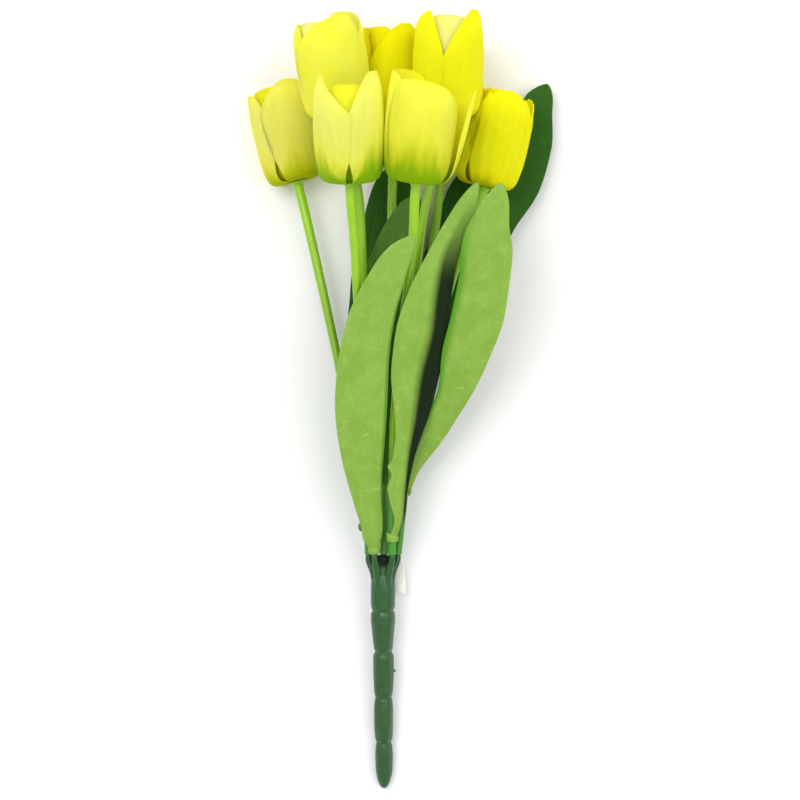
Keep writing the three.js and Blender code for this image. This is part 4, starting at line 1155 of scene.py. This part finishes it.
# Colours of each bloom's cloth: outer body, deep streaks, sprayed foot and inside, with the reach
# and fade of the sprayed foot along the petal and the strength of the streaks. The deep colour also
# serves as painted shade low in the cup, a little above the sprayed foot.
BLOOM_COLOURS = {
    # On the left bloom the inside is a deeper yellow than the outer body: painted shade in its cup.
    "left": [(248, 244, 108), (222, 210, 0), (168, 182, 0), (238, 228, 40), 0.58, 0.28, 0.22],
    "upper_left": [(254, 252, 84), (252, 248, 14), (224, 218, 2), (252, 250, 150), 0.46, 0.3, 0.4],
    "upper_middle": [(240, 231, 12), (226, 212, 0), (180, 182, 4), (240, 226, 16), 0.5, 0.3, 0.45],
    "upper_right": [(254, 250, 26), (247, 236, 4), (210, 208, 2), (248, 246, 140), 0.42, 0.25, 0.3],
    "front_left": [(245, 247, 110), (224, 224, 4), (100, 158, 0), (248, 246, 60), 0.64, 0.26, 0.18],
    "front_right": [(250, 248, 80), (220, 216, 0), (108, 158, 0), (248, 244, 60), 0.7, 0.32, 0.22],
    "right": [(254, 253, 26), (250, 236, 4), (190, 192, 0), (238, 214, 4), 0.46, 0.22, 0.5],
    "back": [(246, 240, 40), (232, 220, 12), (150, 180, 6), (244, 240, 90), 0.5, 0.25, 0.3],
}
# Body and deep streaks of the inner petals, where they aren't the inside and the streaks above.
INNER_COLOURS = {
    # The left bloom's inner petals are deeper yellow as painted shade in its cup.
    "left": [(238, 230, 40), (218, 206, 8)],
    "upper_left": [(252, 250, 150), (246, 242, 90)],
    "upper_right": [(238, 237, 136), (232, 229, 84)],
    "front_right": [(246, 242, 60), (238, 230, 20)],
    "front_left": [(238, 236, 58), (228, 220, 14)],
}
# Colours of a leaf's cloth: body, pale creases, deep veins and underside. The mid and dark cloths are the
# light one darkened as painted shade, for the leaves further back.
LEAF_COLOURS = {
    "light": [(127, 165, 62), (152, 188, 88), (98, 142, 40), (92, 134, 44)],
    "mid": [(76, 118, 38), (100, 144, 54), (54, 96, 26), (70, 108, 38)],
    "dark": [(36, 86, 8), (54, 106, 14), (22, 60, 4), (40, 78, 22)],
}
LEAF_ROUGHNESS = 0.5
# Painted shade on the side of each light leaf that is turned away: its colour, and where across it starts and
# is full. On the front middle leaf it is nearly black, for the deep fold.
PAINTED_SHADE_SIDES = {
    "front_left": ((84, 136, 40), 0.84, 0.95),
    "front_middle": ((12, 32, 3), -0.2, 0.35),
    "front_right": ((76, 142, 22), -0.6, -1.0),
}


def dress(node, name, shells, material, voxel=None):
    """Makes one piece of the bunch out of its shells, hangs it on the root body and hides the imported part
    that it stands for.
    """
    points, faces, first = [], [], 0
    for shell in shells:
        points.append(shell["points"])
        faces += [tuple(index + first for index in face) for face in shell["faces"]]
        first += len(shell["points"])
    points = (np.vstack(points) + CENTRE_SHIFT) * MM
    points[:, 2] = np.maximum(points[:, 2], 0)
    mesh = bpy.data.meshes.new(name)
    mesh.from_pydata(points.tolist(), [], faces)
    for label in ("across", "along", "topside"):
        layer = mesh.attributes.new(label, "FLOAT", "POINT")
        layer.data.foreach_set("value", np.concatenate([shell[label] for shell in shells]).astype(np.float32))
    layer = mesh.attributes.new("cloth", "FLOAT_VECTOR", "POINT")
    flat = np.vstack([shell["cloth"] for shell in shells])
    flat = np.hstack([flat, np.zeros((len(flat), 1))])
    layer.data.foreach_set("vector", flat.astype(np.float32).ravel())
    mesh.update()
    piece = bpy.data.objects.new(name, mesh)
    bpy.context.scene.collection.objects.link(piece)
    if voxel:
        fuse_moulding(piece, voxel)
    mesh = piece.data
    mesh.shade_smooth()
    mesh.set_sharp_from_angle(angle=math.radians(SHARP_ANGLE))
    mesh.materials.clear()
    mesh.materials.append(material)
    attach(piece, "root")
    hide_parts(node)


def fuse_moulding(piece, voxel):
    """Melts overlapping shells into one skin with small fillets, and applies it."""
    remesh = piece.modifiers.new("one skin", "REMESH")
    remesh.mode = "VOXEL"
    remesh.voxel_size = voxel * MM
    smooth = piece.modifiers.new("fillets", "SMOOTH")
    smooth.factor = 0.5
    smooth.iterations = FILLET_ROUNDS
    made = bpy.data.meshes.new_from_object(piece.evaluated_get(bpy.context.evaluated_depsgraph_get()))
    piece.modifiers.clear()
    piece.data = made


def dress_stems_and_blooms():
    """Dresses every stem and the bloom on it."""
    rod = stem_finish("lime stem plastic", (66, 140, 36), (134, 184, 8), (154, 204, 4), (96, 112, 70))
    cap = moulded_finish("pistil plastic", (190, 200, 60), (214, 218, 110), (150, 168, 40), 0.5)
    for name in STEMS:
        body, deep, foot, inside, *spray = BLOOM_COLOURS[name]
        dress(f"stem_{name}", f"rod_{name}", stem_shells(name), rod)
        layers = {"outer": [body, deep], "inner": INNER_COLOURS.get(name, [inside, deep])}
        for layer, colours in layers.items():
            cloth = petal_finish(f"petal cloth {name} {layer}", *colours, foot, inside, *spray)
            dress(f"bloom_{name}_{layer}_petals", f"{layer}_petals_{name}", petal_shells(name, layer),
                  cloth)
        dress(f"bloom_{name}_cap", f"pistil_{name}", cap_shells(name), cap)


def dress_leaves():
    """Dresses every leaf in light, mid or dark cloth; mid and dark are painted shade for the leaves further
    back, and the light leaves carry painted shade on their turned-away side.
    """
    mid, dark = (leaf_finish(f"{shade} leaf cloth", *LEAF_COLOURS[shade]) for shade in ("mid", "dark"))
    cloths = {**dict.fromkeys(LEAVES, dark), "middle": mid}
    # Each front leaf gets its own cloth, with painted shade on its turned-away side.
    for name, side in PAINTED_SHADE_SIDES.items():
        cloths[name] = leaf_finish(f"light leaf cloth {name}", *LEAF_COLOURS["light"], side)
    for name in LEAVES:
        dress(f"leaf_{name}", f"blade_{name}", leaf_shells(name), cloths[name])


def dress_bunch():
    """Dresses every node of the bunch."""
    # Centre of the painted shade between the stubs, and its colour.
    between_stubs = tuple((CROWN_TOP + np.array([0, HOLLOW_AHEAD, 0]) + CENTRE_SHIFT) * MM)
    handle = moulded_finish("green handle plastic", (29, 81, 31), (44, 98, 45), (22, 65, 23), 0.34, 0.2,
                            (between_stubs, (8, 20, 8)))
    dress("handle", "moulded_handle", handle_shells(), handle, voxel=HANDLE_VOXEL)
    dress_stems_and_blooms()
    dress_leaves()
    dress("tag", "blank_strip", tag_shells(), tag_finish())


# Studio

FLOOR_SIZE = 3.0
FLOOR_DROP = 0.0004
FLOOR_SHADES = [(0.94, 0.94, 0.94, 1), (0.92, 0.92, 0.92, 1)]
ROOM_LIGHT = 0.68
# Each light's place, the point it aims at, its size and its power.
LIGHTS = {
    "soft_key": ((-0.5, 0.35, 1.4), (0, 0.03, 0.03), 0.8, 10),
    "soft_fill": ((0.7, 0.15, 1.3), (0, 0, 0.03), 1.2, 7.5),
}
CAMERA_HEIGHT = 1.108
CAMERA_CENTRE = (-0.001, 0.0046)
LENS = 85.0
SENSOR = 36.0


def floor_finish():
    """Pale table with hardly any pattern."""
    material, tree, shader, _ = new_finish("pale table", 0.8)
    place = wire(tree, "ShaderNodeTexCoord").outputs["Object"]
    clouds = mask_of(tree, BLOTCHES, cloth=place, size_in_mm=0.3)
    tree.links.new(mixed(tree, clouds, *FLOOR_SHADES), shader.inputs["Base Color"])
    return material


def lay_floor():
    """Lays the table just under the bunch."""
    half = FLOOR_SIZE / 2
    mesh = bpy.data.meshes.new("table_top")
    corners = [(-half, -half, 0), (half, -half, 0), (half, half, 0), (-half, half, 0)]
    mesh.from_pydata(corners, [], [(0, 1, 2, 3)])
    mesh.materials.append(floor_finish())
    floor = bpy.data.objects.new("table_top", mesh)
    floor.location.z = -FLOOR_DROP
    bpy.context.scene.collection.objects.link(floor)


def hang_light(name, place, aim, size, power):
    """Hangs one broad square light."""
    lamp = bpy.data.lights.new(name, "AREA")
    lamp.shape = "SQUARE"
    lamp.size = size
    lamp.energy = power
    holder = bpy.data.objects.new(name, lamp)
    bpy.context.scene.collection.objects.link(holder)
    holder.location = place
    holder.rotation_euler = (Vector(aim) - Vector(place)).to_track_quat("-Z", "Y").to_euler()


def set_studio():
    """Pale table, broad soft lights and the camera looking straight down."""
    bpy.context.scene.view_settings.view_transform = "Standard"
    lay_floor()
    for name, light in LIGHTS.items():
        hang_light(name, *light)
    world = bpy.data.worlds.new("soft_room")
    bpy.context.scene.world = world
    world.use_nodes = True
    background = world.node_tree.nodes["Background"]
    background.inputs["Color"].default_value = (1, 1, 1, 1)
    background.inputs["Strength"].default_value = ROOM_LIGHT
    camera = bpy.data.cameras.new("camera")
    camera.lens = LENS
    camera.sensor_width = SENSOR
    holder = bpy.data.objects.new("camera", camera)
    bpy.context.scene.collection.objects.link(holder)
    holder.location = (*CAMERA_CENTRE, CAMERA_HEIGHT)
    bpy.context.scene.camera = holder


dress_bunch()
set_studio()
